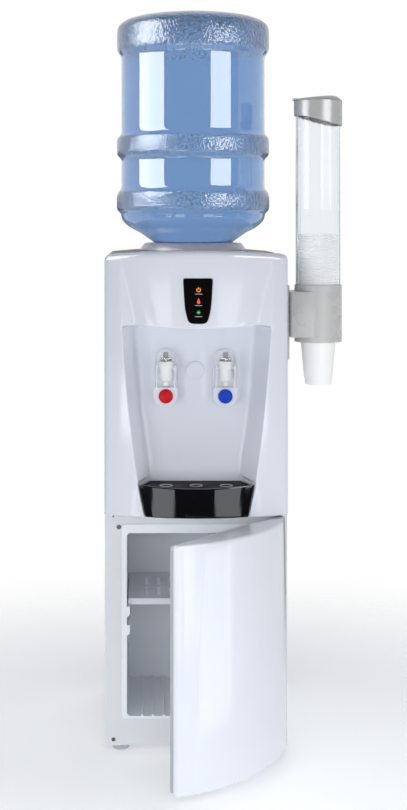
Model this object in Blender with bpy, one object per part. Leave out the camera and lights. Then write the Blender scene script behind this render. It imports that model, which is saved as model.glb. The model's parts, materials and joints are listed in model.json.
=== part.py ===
"""Floor-standing water cooler with a bottle, an open cabinet door and a cup dispenser.

Units are metres. The cooler faces -Y, +X is its right side as seen from the front, +Z is up.
Everything is laid out about the centre of the cabinet's footprint, and one empty then carries the
whole cooler so that the middle of its overall footprint, open door and cup dispenser included, is at
the origin.
"""

import math

import bmesh
import bpy
from mathutils import Vector

for stale in list(bpy.data.objects):
    bpy.data.objects.remove(stale, do_unlink=True)

# Driving dimensions
body_width = 0.304
body_depth = 0.340
foot_height = 0.013
cabinet_height = 0.3883
housing_height = 0.4297
top_dome = 0.007
front_reach = 0.018
front_bulge = 0.040
edge_radius = 0.009
sheet = 0.0012
plastic_wall = 0.003
seat_gap = 0.0003
slide_gap = 0.0006
overrun = 0.004
door_open_angle = 52.0
bottle_radius = 0.1355
bottle_rise = 0.4110
collar_rise = 0.0175
tap_share = 0.32895

# Places that several pieces share
half_width = body_width / 2
frame_y = -body_depth / 2
back_y = body_depth / 2
cabinet_top = foot_height + cabinet_height
housing_top = cabinet_top + housing_height
edge_y = frame_y - front_reach
centre_y = edge_y - front_bulge
tap_spacing = body_width * tap_share
collar_top_z = housing_top + collar_rise
bottle_crown_z = collar_top_z + bottle_rise
arc_radius = (half_width ** 2 + front_bulge ** 2) / (2 * front_bulge)
arc_centre_y = centre_y + arc_radius
side_return = 0.066
housing_back_y = edge_y + side_return

# Counts
round_sides = 24
small_round_sides = 14
hole_sides = 8

white = (0.80, 0.81, 0.85, 1)
grey_white = (0.70, 0.71, 0.74, 1)
steel_white = (0.72, 0.73, 0.77, 1)
black_gloss = (0.012, 0.012, 0.014, 1)


def arc_y(x, inset=0):
    """Y of the bowed front at a given x, the bow moved inwards by inset."""
    return arc_centre_y - math.sqrt((arc_radius - inset) ** 2 - x ** 2)


def material(name, colour, roughness=0.35, metallic=0.0, alpha=1.0):
    made = bpy.data.materials.get(name)
    if made:
        return made
    made = bpy.data.materials.new(name)
    made.use_nodes = True
    shader = made.node_tree.nodes["Principled BSDF"]
    shader.inputs["Base Color"].default_value = colour
    shader.inputs["Roughness"].default_value = roughness
    shader.inputs["Metallic"].default_value = metallic
    shader.inputs["Alpha"].default_value = alpha
    made.diffuse_color = colour
    return made


def empty(name, place=(0, 0, 0), parent=None, turn=(0, 0, 0)):
    made = bpy.data.objects.new(name, None)
    bpy.context.collection.objects.link(made)
    made.location = place
    made.rotation_euler = turn
    made.parent = parent
    return made


def add_object(name, bm, finish, parent, place=(0, 0, 0), smooth=True):
    """Turns a bmesh into a named object with outward faces, its origin at place."""
    bm.normal_update()
    bmesh.ops.recalc_face_normals(bm, faces=bm.faces)
    mesh = bpy.data.meshes.new(name)
    bm.to_mesh(mesh)
    bm.free()
    mesh.materials.append(finish)
    made = bpy.data.objects.new(name, mesh)
    bpy.context.collection.objects.link(made)
    made.location = place
    made.parent = parent
    if smooth:
        mesh.shade_smooth()
        mesh.set_sharp_from_angle(angle=math.radians(35))
    return made


def box(low, high):
    bm = bmesh.new()
    bmesh.ops.create_cube(bm, size=1)
    for v in bm.verts:
        for axis in range(3):
            v.co[axis] = low[axis] if v.co[axis] < 0 else high[axis]
    return bm


def prism(outline, low, high, axis="Z"):
    """An outline in the plane across the axis, extruded along it from low to high."""
    bm = bmesh.new()
    place = {
        "Z": lambda u, v: (u, v, low),
        "Y": lambda u, v: (u, low, v),
        "X": lambda u, v: (low, u, v),
    }[axis]
    face = bm.faces.new([bm.verts.new(place(u, v)) for u, v in outline])
    grown = bmesh.ops.extrude_face_region(bm, geom=[face])
    step = Vector([high - low if letter == axis else 0 for letter in "XYZ"])
    moved = [g for g in grown["geom"] if isinstance(g, bmesh.types.BMVert)]
    bmesh.ops.translate(bm, verts=moved, vec=step)
    return bm


def turned(profile, sides=round_sides, axis="Z"):
    """A closed (radius, height) profile spun about an axis through the origin."""
    bm = bmesh.new()
    verts = [bm.verts.new((r, 0, h)) for r, h in profile]
    edges = [bm.edges.new((verts[i - 1], verts[i])) for i in range(len(verts))]
    bmesh.ops.spin(
        bm, geom=verts + edges, cent=(0, 0, 0), axis=(0, 0, 1), angle=math.tau,
        steps=sides, use_merge=True,
    )
    bmesh.ops.remove_doubles(bm, verts=bm.verts, dist=1e-7)
    flat = [e for e in bm.edges if e.is_wire or not e.link_faces]
    bmesh.ops.delete(bm, geom=flat, context="EDGES")
    if axis != "Z":
        for v in bm.verts:
            x, y, z = v.co
            v.co = (x, z, y) if axis == "Y" else (z, x, y)
    return bm


def rod(radius, low, high, sides=small_round_sides, axis="Z", at=(0, 0)):
    """A plain round bar along an axis, between two places on it."""
    step = math.tau / sides
    outline = [
        (at[0] + radius * math.cos(step * (i + 0.5)), at[1] + radius * math.sin(step * (i + 0.5)))
        for i in range(sides)
    ]
    return prism(outline, low, high, axis)


def loft(rings, split=False):
    """A closed solid through rings of equally many points, with flat ends, its sides split if warped."""
    bm = bmesh.new()
    loops = [[bm.verts.new(p) for p in ring] for ring in rings]
    count = len(loops[0])
    for low, high in zip(loops, loops[1:]):
        for i in range(count):
            bm.faces.new((low[i - 1], low[i], high[i], high[i - 1]))
    if split:
        bmesh.ops.triangulate(bm, faces=bm.faces)
    bm.faces.new(loops[0])
    bm.faces.new(loops[-1][::-1])
    return bm


def rounded_rect(x0, y0, x1, y1, radius, steps=3):
    """Corner-rounded rectangle as a list of points, anticlockwise."""
    points = []
    corners = ((x1, y0, -90), (x1, y1, 0), (x0, y1, 90), (x0, y0, 180))
    for cx, cy, start in corners:
        ox = cx - radius if cx == x1 else cx + radius
        oy = cy - radius if cy == y1 else cy + radius
        for i in range(steps + 1):
            a = math.radians(start + 90 * i / steps)
            points.append((ox + radius * math.cos(a), oy + radius * math.sin(a)))
    return points


def stadium(half, low, high, steps=8):
    """An upright outline with a half-round top and bottom."""
    points = []
    for centre, start in ((high - half, 0), (low + half, 180)):
        for i in range(steps + 1):
            a = math.radians(start + 180 * i / steps)
            points.append((half * math.cos(a), centre + half * math.sin(a)))
    return points


def bowed_outline(half, back, inset=0, corner=edge_radius, steps=10, corner_steps=2):
    """Plan outline with a straight back edge at back and the cooler's bowed front."""
    front = []
    x_end = half - corner
    for i in range(steps + 1):
        x = -x_end + 2 * x_end * i / steps
        front.append((x, arc_y(x, inset)))
    side_y = arc_y(half - corner, inset) + corner
    right = []
    for i in range(1, corner_steps + 1):
        t = i / corner_steps
        x = (1 - t) ** 2 * x_end + 2 * t * (1 - t) * half + t ** 2 * half
        y = (1 - t) ** 2 * front[-1][1] + 2 * t * (1 - t) * arc_y(half, inset) + t ** 2 * side_y
        right.append((x, y))
    left = [(-x, y) for x, y in reversed(right)]
    return left + front + right + [(half, back), (-half, back)]


def modify(target, bm, operation):
    """Cuts or joins another shape, kept as a hidden wire guide, by a Boolean modifier."""
    bm.normal_update()
    bmesh.ops.recalc_face_normals(bm, faces=bm.faces)
    mesh = bpy.data.meshes.new(target.name + "_tool")
    bm.to_mesh(mesh)
    bm.free()
    tool = bpy.data.objects.new(target.name + "_tool", mesh)
    bpy.context.collection.objects.link(tool)
    tool.location = target.location
    tool.parent = target.parent
    tool.hide_render = True
    tool.display_type = "WIRE"
    step = target.modifiers.new(operation.lower(), "BOOLEAN")
    step.operation = operation
    step.solver = "EXACT"
    step.object = tool


def cut(target, bm):
    modify(target, bm, "DIFFERENCE")


def join(target, bm):
    modify(target, bm, "UNION")


def merge(*shapes):
    """Several separate shapes as one bmesh, for one cut of all of them."""
    whole = bmesh.new()
    for shape in shapes:
        part = bpy.data.meshes.new("part")
        shape.to_mesh(part)
        shape.free()
        whole.from_mesh(part)
        bpy.data.meshes.remove(part)
    return whole


def soften(target, width, segments=1, angle=40):
    step = target.modifiers.new("bevel", "BEVEL")
    step.width = width
    step.segments = segments
    step.limit_method = "ANGLE"
    step.angle_limit = math.radians(angle)
    step.harden_normals = False


def hose(name, route, radius, finish, parent, points_per_span=2):
    """A tube along a smooth curve through the route's points, with closed ends."""
    knots = [Vector(p) for p in route]
    knots = [2 * knots[0] - knots[1]] + knots + [2 * knots[-1] - knots[-2]]
    path = []
    for a, b, c, d in zip(knots, knots[1:], knots[2:], knots[3:]):
        for i in range(points_per_span):
            t = i / points_per_span
            path.append(
                0.5 * (2 * b + (c - a) * t + (2 * a - 5 * b + 4 * c - d) * t ** 2
                       + (3 * b - a - 3 * c + d) * t ** 3)
            )
    path.append(knots[-2])
    curve = bpy.data.curves.new(name, "CURVE")
    curve.dimensions = "3D"
    line = curve.splines.new("POLY")
    line.points.add(len(path) - 1)
    for point, place in zip(line.points, path):
        point.co = (*place, 1)
    curve.bevel_depth = radius
    curve.bevel_resolution = 2
    curve.use_fill_caps = True
    curve.materials.append(finish)
    made = bpy.data.objects.new(name, curve)
    bpy.context.collection.objects.link(made)
    made.parent = parent
    return made


# Cup dispenser values, which the overall footprint also needs
cup_reach = 0.0612
cup_setback = 0.037
cup_axis_x = half_width + cup_reach
cup_axis_y = housing_back_y + cup_setback
holder_radius = 0.0405
lid_radius = 0.0423

# Door values, which the overall footprint also needs
door_gap_bottom = 0.0067
door_low_z = foot_height + door_gap_bottom
door_top_gap = 0.0033
door_high_z = cabinet_top - door_top_gap
gasket_depth = 0.0064
door_back_y = frame_y - seat_gap - gasket_depth - seat_gap
door_side_gap = 0.002
door_half = half_width - door_side_gap
hinge_inset = 0.0065
hinge_x = door_half - hinge_inset
hinge_y = door_back_y - hinge_inset

# Condenser values, which the overall footprint also needs
condenser_standoff = 0.008
tube_radius = 0.0024
wire_radius = 0.0013
grid_y = back_y + condenser_standoff

# The free corner of the open door is the part's most forward place
door_reach = door_half + hinge_x
door_swing = math.radians(door_open_angle)
door_front_y = hinge_y - door_reach * math.sin(door_swing)
footprint_x = (cup_axis_x + lid_radius - half_width) / 2
footprint_y = (door_front_y + grid_y + tube_radius) / 2
cooler = empty("cooler", (-footprint_x, -footprint_y, 0))

# Steel cabinet: base plate, feet, side panels, back panel, front frame
panel_lip = 0.004
back_lip = 0.012
base_lip = 0.012
foot_radius = 0.0145
foot_inset = 0.0265
frame_top_gap = 0.0028
frame_bottom = foot_height + seat_gap
frame_top = cabinet_top - frame_top_gap
panel_top = housing_top - edge_radius
back_panel_low = 0.200
steel = material("painted_steel", steel_white, 0.4, 0.0)
plastic = material("white_plastic", white, 0.2)
liner_plastic = material("liner_plastic", (0.66, 0.74, 0.82, 1), 0.35)
dark_plastic = material("dark_plastic", (0.03, 0.03, 0.035, 1), 0.45)


def make_base_plate():
    side = half_width - sheet - seat_gap
    front = frame_y + sheet + seat_gap
    back = back_y - sheet - seat_gap
    tray = add_object(
        "base_plate", box((-side, front, frame_bottom), (side, back, foot_height + base_lip)), steel, cooler
    )
    cut(tray, box((-side + sheet, front + sheet, frame_bottom + sheet),
                  (side - sheet, back - sheet, foot_height + base_lip + overrun)))
    foot_flare = 0.0025
    profile = [
        (0, 0), (foot_radius - foot_flare, 0), (foot_radius, foot_flare),
        (foot_radius, foot_height - foot_flare), (foot_radius - foot_flare, foot_height), (0, foot_height),
    ]
    rubber = material("foot_rubber", (0.55, 0.55, 0.57, 1), 0.6)
    for side_name, sx in (("left", -1), ("right", 1)):
        for end_name, y in (("front", frame_y + foot_inset), ("rear", back_y - foot_inset)):
            add_object(f"foot_{end_name}_{side_name}", turned(profile, 12), rubber, cooler,
                       (sx * (half_width - foot_inset), y, 0))


def make_side_panel(name, sx):
    """Folded steel side: a narrow front lip, a wider back lip, notched for the upper housing."""
    outline = [
        (sx * half_width, frame_y), (sx * (half_width - panel_lip), frame_y),
        (sx * (half_width - panel_lip), frame_y + sheet), (sx * (half_width - sheet), frame_y + sheet),
        (sx * (half_width - sheet), back_y - sheet), (sx * (half_width - back_lip), back_y - sheet),
        (sx * (half_width - back_lip), back_y), (sx * half_width, back_y),
    ]
    panel = add_object(name, prism(outline, foot_height + seat_gap, panel_top), steel, cooler)
    notch_y = housing_back_y + seat_gap
    cut(panel, box((-half_width - overrun, frame_y - overrun, cabinet_top - seat_gap),
                   (half_width + overrun, notch_y, panel_top + overrun)))


def make_back_panel():
    """Rear sheet with vent slots, cut away below so that the compressor breathes."""
    edge = half_width - back_lip - seat_gap
    panel = add_object(
        "back_panel", box((-edge, back_y - sheet, back_panel_low), (edge, back_y, panel_top)), steel, cooler
    )
    slot_count = 5
    slot_half = 0.0025
    slot_height = 0.018
    slot_pitch = 0.030
    slot_rise = 0.006
    top = panel_top - slot_rise
    middle = (slot_count - 1) / 2
    slots = [
        box(((i - middle) * slot_pitch - slot_half, back_y - sheet - overrun, top - slot_height),
            ((i - middle) * slot_pitch + slot_half, back_y + overrun, top))
        for i in range(slot_count)
    ]
    cut(panel, merge(*slots))
    return panel


# Cabinet liner, its mouth and its shelf
mouth_side = 0.037
mouth_sill = 0.0495
mouth_head = 0.0345
mouth_half = half_width - mouth_side
mouth_low = foot_height + mouth_sill
mouth_high = cabinet_top - mouth_head
flange_side = 0.0086
flange_low = 0.005
flange_high = 0.015
flange_depth = 0.002
liner_wall = 0.002
behind_liner = 0.125
liner_depth = body_depth - behind_liner
ledge_reach = 0.005
ledge_height = 0.0135
ledge_share = 0.5971
shelf_ledge_top = mouth_low + (mouth_high - mouth_low) * ledge_share
ledge_drop = 0.031
rib_count = 11
rib_margin = 0.0255
rib_pitch = (mouth_half - rib_margin) * 2 / (rib_count - 1)
rib_width = 0.004
rib_height = 0.0026
liner_radius = 0.006


def make_frame():
    edge = half_width - panel_lip - seat_gap
    frame = add_object(
        "cabinet_frame", box((-edge, frame_y, frame_bottom), (edge, frame_y + sheet, frame_top)), steel, cooler
    )
    hole = liner_wall + seat_gap
    cut(frame, prism(
        rounded_rect(-mouth_half - hole, mouth_low - hole, mouth_half + hole, mouth_high + hole, liner_radius),
        frame_y - overrun, frame_y + sheet + overrun, "Y",
    ))


def make_liner():
    """Vacuum-formed box: flange over the frame, two ledges each side for the shelf, ribbed floor."""
    front = frame_y - seat_gap - flange_depth
    back = front + liner_depth
    shell = add_object(
        "cabinet_liner",
        prism(rounded_rect(-mouth_half - liner_wall, mouth_low - liner_wall, mouth_half + liner_wall,
                           mouth_high + liner_wall, liner_radius), front, back, "Y"),
        liner_plastic, cooler,
    )
    join(shell, prism(
        rounded_rect(-mouth_half - flange_side, mouth_low - flange_low, mouth_half + flange_side,
                     mouth_high + flange_high, liner_radius), front, front + flange_depth, "Y",
    ))
    floor = mouth_low
    outline = []
    first = -(rib_count - 1) / 2
    for i in range(rib_count):
        x = (first + i) * rib_pitch
        half = rib_width / 2
        outline += [(x - half, floor), (x - half, floor + rib_height),
                    (x + half, floor + rib_height), (x + half, floor)]
    corner = liner_radius - liner_wall
    right = [(mouth_half - corner, floor), (mouth_half, floor + corner)]
    for top in (shelf_ledge_top - ledge_drop, shelf_ledge_top):
        right += [(mouth_half, top - ledge_height - ledge_reach), (mouth_half - ledge_reach, top - ledge_height),
                  (mouth_half - ledge_reach, top), (mouth_half, top)]
    right += [(mouth_half, mouth_high - corner), (mouth_half - corner, mouth_high)]
    left = [(-x, z) for x, z in reversed(right)]
    cut(shell, prism(outline + right + left, front - overrun, back - liner_wall, "Y"))


shelf_height = 0.0102
shelf_wall = 0.0025
shelf_side_gap = 0.0015
shelf_setback = 0.012
shelf_end_gap = 0.030
shelf_length = liner_depth - shelf_end_gap


def make_shelf():
    """Downward tray whose skirt rests on the liner's upper ledges, with two rows of vent slots."""
    half = mouth_half - shelf_side_gap
    low = shelf_ledge_top + seat_gap
    high = low + shelf_height
    front = frame_y + shelf_setback
    back = front + shelf_length
    shelf = add_object("cabinet_shelf", box((-half, front, low), (half, back, high)), plastic, cooler)
    cut(shelf, box((-half + shelf_wall, front + shelf_wall, low - overrun),
                   (half - shelf_wall, back - shelf_wall, high - shelf_wall)))
    slot_reach = 4
    slot_margin = 0.0315
    slot_pitch = (half - slot_margin) / slot_reach
    slot_half = 0.0032
    slot_inset = 0.020
    slot_end = 0.033
    row_gap = 0.016
    slot_length = (shelf_length - slot_inset - slot_end - row_gap) / 2
    slots = []
    for i in range(-slot_reach, slot_reach + 1):
        for row in range(2):
            y = front + slot_inset + row * (slot_length + row_gap)
            slots.append(box((i * slot_pitch - slot_half, y, high - shelf_wall - overrun),
                             (i * slot_pitch + slot_half, y + slot_length, high + overrun)))
    cut(shelf, merge(*slots))


def make_ceiling_clip():
    clip_x = 0.020
    clip_width = 0.015
    clip_height = 0.006
    clip_depth = 0.014
    clip_setback = 0.024
    bead = 0.0008
    clip = add_object(
        "ceiling_clip",
        box((clip_x, frame_y + clip_setback, mouth_high - seat_gap - clip_height),
            (clip_x + clip_width, frame_y + clip_setback + clip_depth, mouth_high - seat_gap)),
        material("brown_clip", (0.20, 0.08, 0.05, 1), 0.5), cooler,
    )
    soften(clip, bead)


# Upper housing
housing_flange = 0.022
brow_top_outer_share = 0.8191
brow_top_inner_share = 0.7993
ledge_outer_share = 0.7796
ledge_inner_share = 0.6513
foot_outer_share = 0.6480
foot_inner_share = 0.5000
brow_top_outer = half_width * brow_top_outer_share
brow_top_inner = half_width * brow_top_inner_share
ledge_outer = half_width * ledge_outer_share
ledge_inner = half_width * ledge_inner_share
recess_foot_outer = half_width * foot_outer_share
recess_foot_inner = half_width * foot_inner_share
ledge_rise_share = 0.73005
tap_rise_share = 0.55783
ledge_z = cabinet_top + housing_height * ledge_rise_share
tap_z = cabinet_top + housing_height * tap_rise_share
ledge_sag = 0.005
lip_radius = 0.004
recess_depth = 0.063
recess_back_y = edge_y + recess_depth
recess_foot_rise = 0.0547
recess_foot_z = cabinet_top + recess_foot_rise
brow_inset_edge = 0.012
brow_centre_share = 0.25
tap_pad = 0.004
pad_above_tap = 0.035
pad_below_tap = 0.041
step_below_tap = 0.064
pad_low_z = tap_z - pad_below_tap
pad_high_z = tap_z + pad_above_tap
step_z = tap_z - step_below_tap
step_depth = 0.004
cove_depth = 0.009
wall_head_drop = 0.010
lower_wall_share = 0.38
tray_rise = 0.0477
tray_top_z = cabinet_top + tray_rise
tray_floor_z = cabinet_top + plastic_wall + seat_gap
tray_back_y = recess_back_y - cove_depth
tray_back_share = 0.5197
tray_front_top_share = 0.6414
tray_front_low_share = 0.5592
crease_top_share = 0.6645
crease_low_share = 0.6974
tray_back_half = half_width * tray_back_share
tray_front_half_top = half_width * tray_front_top_share
tray_front_half_low = half_width * tray_front_low_share
crease_top_x = half_width * crease_top_share
crease_low_x = half_width * crease_low_share
tray_skirt = 0.0045
least_corner = 0.002
wall_shares = (1.0, 0.86, 0.68, tap_spacing / 2 / ledge_inner, 0.26, 0.0)
tap_column = 3
centre_column = 5


def mix(low, high, share):
    return low + (high - low) * share


def side_columns(inset, z):
    """The four outer columns of a housing row: side return, rounded corner, start of the bow."""
    half = half_width - inset
    corner = max(edge_radius - inset, least_corner)
    x_end = half - corner
    start = Vector((half, arc_y(x_end, inset) + corner))
    bend = Vector((half, arc_y(half, inset)))
    end = Vector((x_end, arc_y(x_end, inset)))
    row = [(half, housing_back_y, z)]
    for i in range(3):
        t = i / 2
        p = (1 - t) ** 2 * start + 2 * t * (1 - t) * bend + t ** 2 * end
        row.append((p.x, p.y, z))
    return row


def domed(x, low):
    """Height of the gently domed top at x, measured from its height low at the sides."""
    return low + top_dome * (1 - (x / half_width) ** 2)


def brow_y(x, inner, depth):
    """The brow is set back by depth at its side edges and by a share of it at the centre."""
    spread = min(abs(x) / inner, 1)
    return arc_y(x) + depth * (brow_centre_share + (1 - brow_centre_share) * spread ** 2)


def tray_half_at(z):
    """Half width of the drip tray's front at a given height."""
    share = (z - cabinet_top) / (tray_top_z - cabinet_top)
    return mix(tray_front_half_low, tray_front_half_top, share)


def tray_back_at(front_half, front):
    """Half width at the tray's back of a side that starts at the given front corner."""
    taper = (tray_front_half_top - tray_back_half) / (tray_back_y - arc_y(tray_front_half_top))
    return front_half - taper * (tray_back_y - front)


def housing_rows():
    """Right half of the housing's outer surface, row by row from its top flange to the tray floor."""
    rows = []
    roll = edge_radius * (1 - math.sqrt(0.5))
    for inset, drop in ((housing_flange, 0), (edge_radius, 0), (roll, roll), (0, edge_radius)):
        row = side_columns(inset, 0)
        row.append((brow_top_outer, arc_y(brow_top_outer, inset), 0))
        row += [(brow_top_inner * s, arc_y(brow_top_inner * s, inset), 0) for s in wall_shares]
        rows.append([(x, y, domed(x, housing_top) - drop) for x, y, z in row])
    brow_z = housing_top - edge_radius
    for share in (0.5, 1.0):
        z = mix(brow_z, ledge_z, share) + lip_radius * share
        outer = mix(brow_top_outer, ledge_outer, share)
        inner = mix(brow_top_inner, ledge_inner, share)
        row = side_columns(0, z) + [(outer, arc_y(outer), z)]
        for s in wall_shares:
            sag = ledge_sag * share * (1 - s ** 2)
            row.append((inner * s, brow_y(inner * s, inner, brow_inset_edge * share), z - sag))
        rows.append(row)
    for turn in range(2):
        z = ledge_z - turn * lip_radius
        row = side_columns(0, z) + [(ledge_outer, arc_y(ledge_outer), z)]
        for s in wall_shares:
            x = ledge_inner * s
            sag = ledge_sag * (1 - s ** 2)
            lip_y = brow_y(x, ledge_inner, brow_inset_edge) + lip_radius
            row.append((x, recess_back_y if turn else lip_y, ledge_z - sag))
        rows.append(row)
    lower_wall_z = mix(recess_foot_z, step_z, lower_wall_share)
    wall_levels = (ledge_z - wall_head_drop, pad_high_z, pad_low_z, step_z + step_depth,
                   step_z - step_depth, lower_wall_z, recess_foot_z)
    for level, z in enumerate(wall_levels):
        share = (ledge_z - z) / (ledge_z - recess_foot_z)
        outer = mix(ledge_outer, recess_foot_outer, share)
        inner = mix(ledge_inner, recess_foot_inner, share)
        row = side_columns(0, z) + [(outer, arc_y(outer), z)]
        for column, s in enumerate(wall_shares):
            y = recess_back_y
            if pad_low_z <= z <= pad_high_z and column in (tap_column, centre_column):
                y -= tap_pad
            if z < step_z:
                y -= step_depth
            if level == len(wall_levels) - 1:
                y = tray_back_y
            x = tap_spacing / 2 if column == tap_column and z > step_z else inner * s
            row.append((x, y, z))
        rows.append(row)
    for level, side_z in enumerate((tray_top_z, tray_floor_z, cabinet_top)):
        z = max(side_z, tray_floor_z)
        share = (tray_top_z - side_z) / (tray_top_z - cabinet_top)
        crease = mix(crease_top_x, crease_low_x, share)
        pocket = tray_half_at(side_z) + slide_gap + seat_gap
        edge_back = tray_skirt + slide_gap if level else 0
        row = side_columns(0, side_z) + [(crease, arc_y(crease), side_z)]
        row.append((pocket, arc_y(pocket) + edge_back, side_z))
        if level == 2:
            row += [(pocket * s, arc_y(pocket * s) + tray_skirt + slide_gap, z) for s in wall_shares[1:]]
        else:
            back = tray_back_at(pocket, arc_y(pocket) + edge_back)
            row += [(back * s / wall_shares[1], tray_back_y, z) for s in wall_shares[1:]]
        rows.append(row)
    return rows


display_head_share = 0.2944
display_top_z = mix(housing_top - edge_radius, ledge_z, display_head_share)
display_low_z = ledge_z + lip_radius
display_top_half = 0.0233
display_mid_half = 0.0213
display_low_half = 0.0107
display_radius = 0.006
display_low_bend = 0.0156
display_widest_share = 0.55
display_thickness = 0.003
display_proud = 0.0012


def display_outline(grow=0):
    """Trapezoid with small top and large bottom corners, about the display's centre line."""
    top = display_top_z + grow
    low = display_low_z - grow
    small = display_radius / 3
    right = [
        (display_low_half + grow / 2, low),
        (display_low_half + display_radius - small / 2 + grow, low + display_radius / 2),
        (display_mid_half - small + grow, low + display_low_bend),
        (display_mid_half + grow, mix(low, top, display_widest_share)),
        (display_top_half + grow, top - small),
        (display_top_half - small + grow, top),
    ]
    return right + [(-x, z) for x, z in reversed(right)]


disc_radius = 0.0152
disc_below_tap = 0.007
disc_z = tap_z - disc_below_tap
shank_radius = 0.008


def make_housing():
    """One moulded front: domed brow, ledge, scalloped dispensing recess and tray pocket."""
    rows = housing_rows()
    bm = bmesh.new()
    grid = []
    for row in rows:
        left = [(-x, y, z) for x, y, z in row[:-1]]
        grid.append([bm.verts.new(p) for p in left + [row[-1]] + row[-2::-1]])
    for upper, lower in zip(grid, grid[1:]):
        for i in range(len(upper) - 1):
            bm.faces.new((upper[i], lower[i], lower[i + 1], upper[i + 1]))
    bmesh.ops.recalc_face_normals(bm, faces=bm.faces)
    outward = sum((f.normal.y * f.calc_area() for f in bm.faces), 0)
    if outward > 0:
        bmesh.ops.reverse_faces(bm, faces=bm.faces)
    mesh = bpy.data.meshes.new("upper_housing")
    bm.to_mesh(mesh)
    bm.free()
    mesh.materials.append(plastic)
    mesh.shade_smooth()
    mesh.set_sharp_from_angle(angle=math.radians(35))
    housing = bpy.data.objects.new("upper_housing", mesh)
    bpy.context.collection.objects.link(housing)
    housing.parent = cooler
    shell = housing.modifiers.new("shell", "SOLIDIFY")
    shell.thickness = plastic_wall
    shell.offset = -1
    shell.use_even_offset = True
    split = housing.modifiers.new("split", "TRIANGULATE")
    split.quad_method = "BEAUTY"
    through = overrun + plastic_wall + tap_pad
    wall_front = recess_back_y - through
    wall_back = recess_back_y + through
    holes = [
        rod(shank_radius + seat_gap, wall_front, wall_back, small_round_sides, "Y", (sx * tap_spacing / 2, tap_z))
        for sx in (-1, 1)
    ]
    stem_radius = disc_radius / 2
    holes.append(rod(stem_radius + seat_gap, wall_front, wall_back, small_round_sides, "Y", (0, disc_z)))
    holes.append(prism(display_outline(seat_gap), centre_y - overrun,
                       centre_y + brow_inset_edge + plastic_wall + overrun, "Y"))
    cut(housing, merge(*holes))


def make_display():
    lean = brow_inset_edge * brow_centre_share / (housing_top - edge_radius - ledge_z)
    plate = prism(display_outline(), 0, display_thickness + display_proud, "Y")
    for v in plate.verts:
        v.co.y += lean * (display_top_z - v.co.z)
    face_y = centre_y - display_proud + lean * (housing_top - edge_radius - display_top_z)
    panel = add_object(
        "display_panel", plate, material("display_black", black_gloss, 0.12), cooler, (0, face_y, 0)
    )
    bead = 0.0006
    soften(panel, bead)
    board_half = 0.022
    board_thickness = 0.0016
    relay_half = 0.008
    relay_height = 0.012
    board_low = display_low_z
    relay_share = 0.3
    y = brow_y(board_half, ledge_inner, brow_inset_edge) + plastic_wall + seat_gap * 2
    board = add_object(
        "control_board", box((-board_half, y + board_thickness, board_low), (board_half, y, display_top_z)),
        material("circuit_board", (0.02, 0.16, 0.06, 1), 0.5), cooler,
    )
    relay_z = mix(board_low, display_top_z, relay_share)
    join(board, box((-relay_half, y + board_thickness / 2, relay_z),
                    (relay_half, y + board_thickness + relay_height, relay_z + relay_height)))


def make_blank_plug():
    """Snap-in disc that closes the place of a third tap."""
    face = 0.0024
    crown = 0.0012
    stem_length = 0.010
    stem_radius = disc_radius / 2
    profile = [
        (0, 0), (disc_radius - crown, 0), (disc_radius, crown), (disc_radius, face),
        (stem_radius, face), (stem_radius, stem_length), (0, stem_length),
    ]
    y = recess_back_y - tap_pad - seat_gap - face
    add_object("blank_plug", turned(profile, small_round_sides, "Y"), plastic, cooler, (0, y, disc_z))


# Taps: everything is placed about the push lever's pivot
tap_stand_off = 0.035
tap_axis_y = recess_back_y - tap_stand_off
tap_radius = 0.0131
tap_body_top = 0.0116
tap_body_low = -0.0235
nozzle_low = -0.0300
nozzle_radius = 0.0048
spout_bore = 0.0032
stem_radius = 0.0041
stem_gap = 0.0003
bore_floor = -0.0130
nut_height = 0.0047
stem_rise = 0.0100
plate_front_drop = 0.0040
trunnion_radius = 0.0030
trunnion_reach = 0.0172
arm_inner = 0.0139
arm_outer = 0.0169
paddle_low = -0.0680
paddle_high = -0.0340
paddle_half = 0.0205
paddle_front = 0.0100
paddle_thickness = 0.0030
button_radius = 0.0119
button_depth = 0.0028
escutcheon_half = 0.0195
escutcheon_depth = 0.0037
escutcheon_below = 0.0620
escutcheon_above = 0.0296
shank_behind = 0.025
shank_end_y = recess_back_y + shank_behind
button_share = 0.64
shin_share = 0.4


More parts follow.
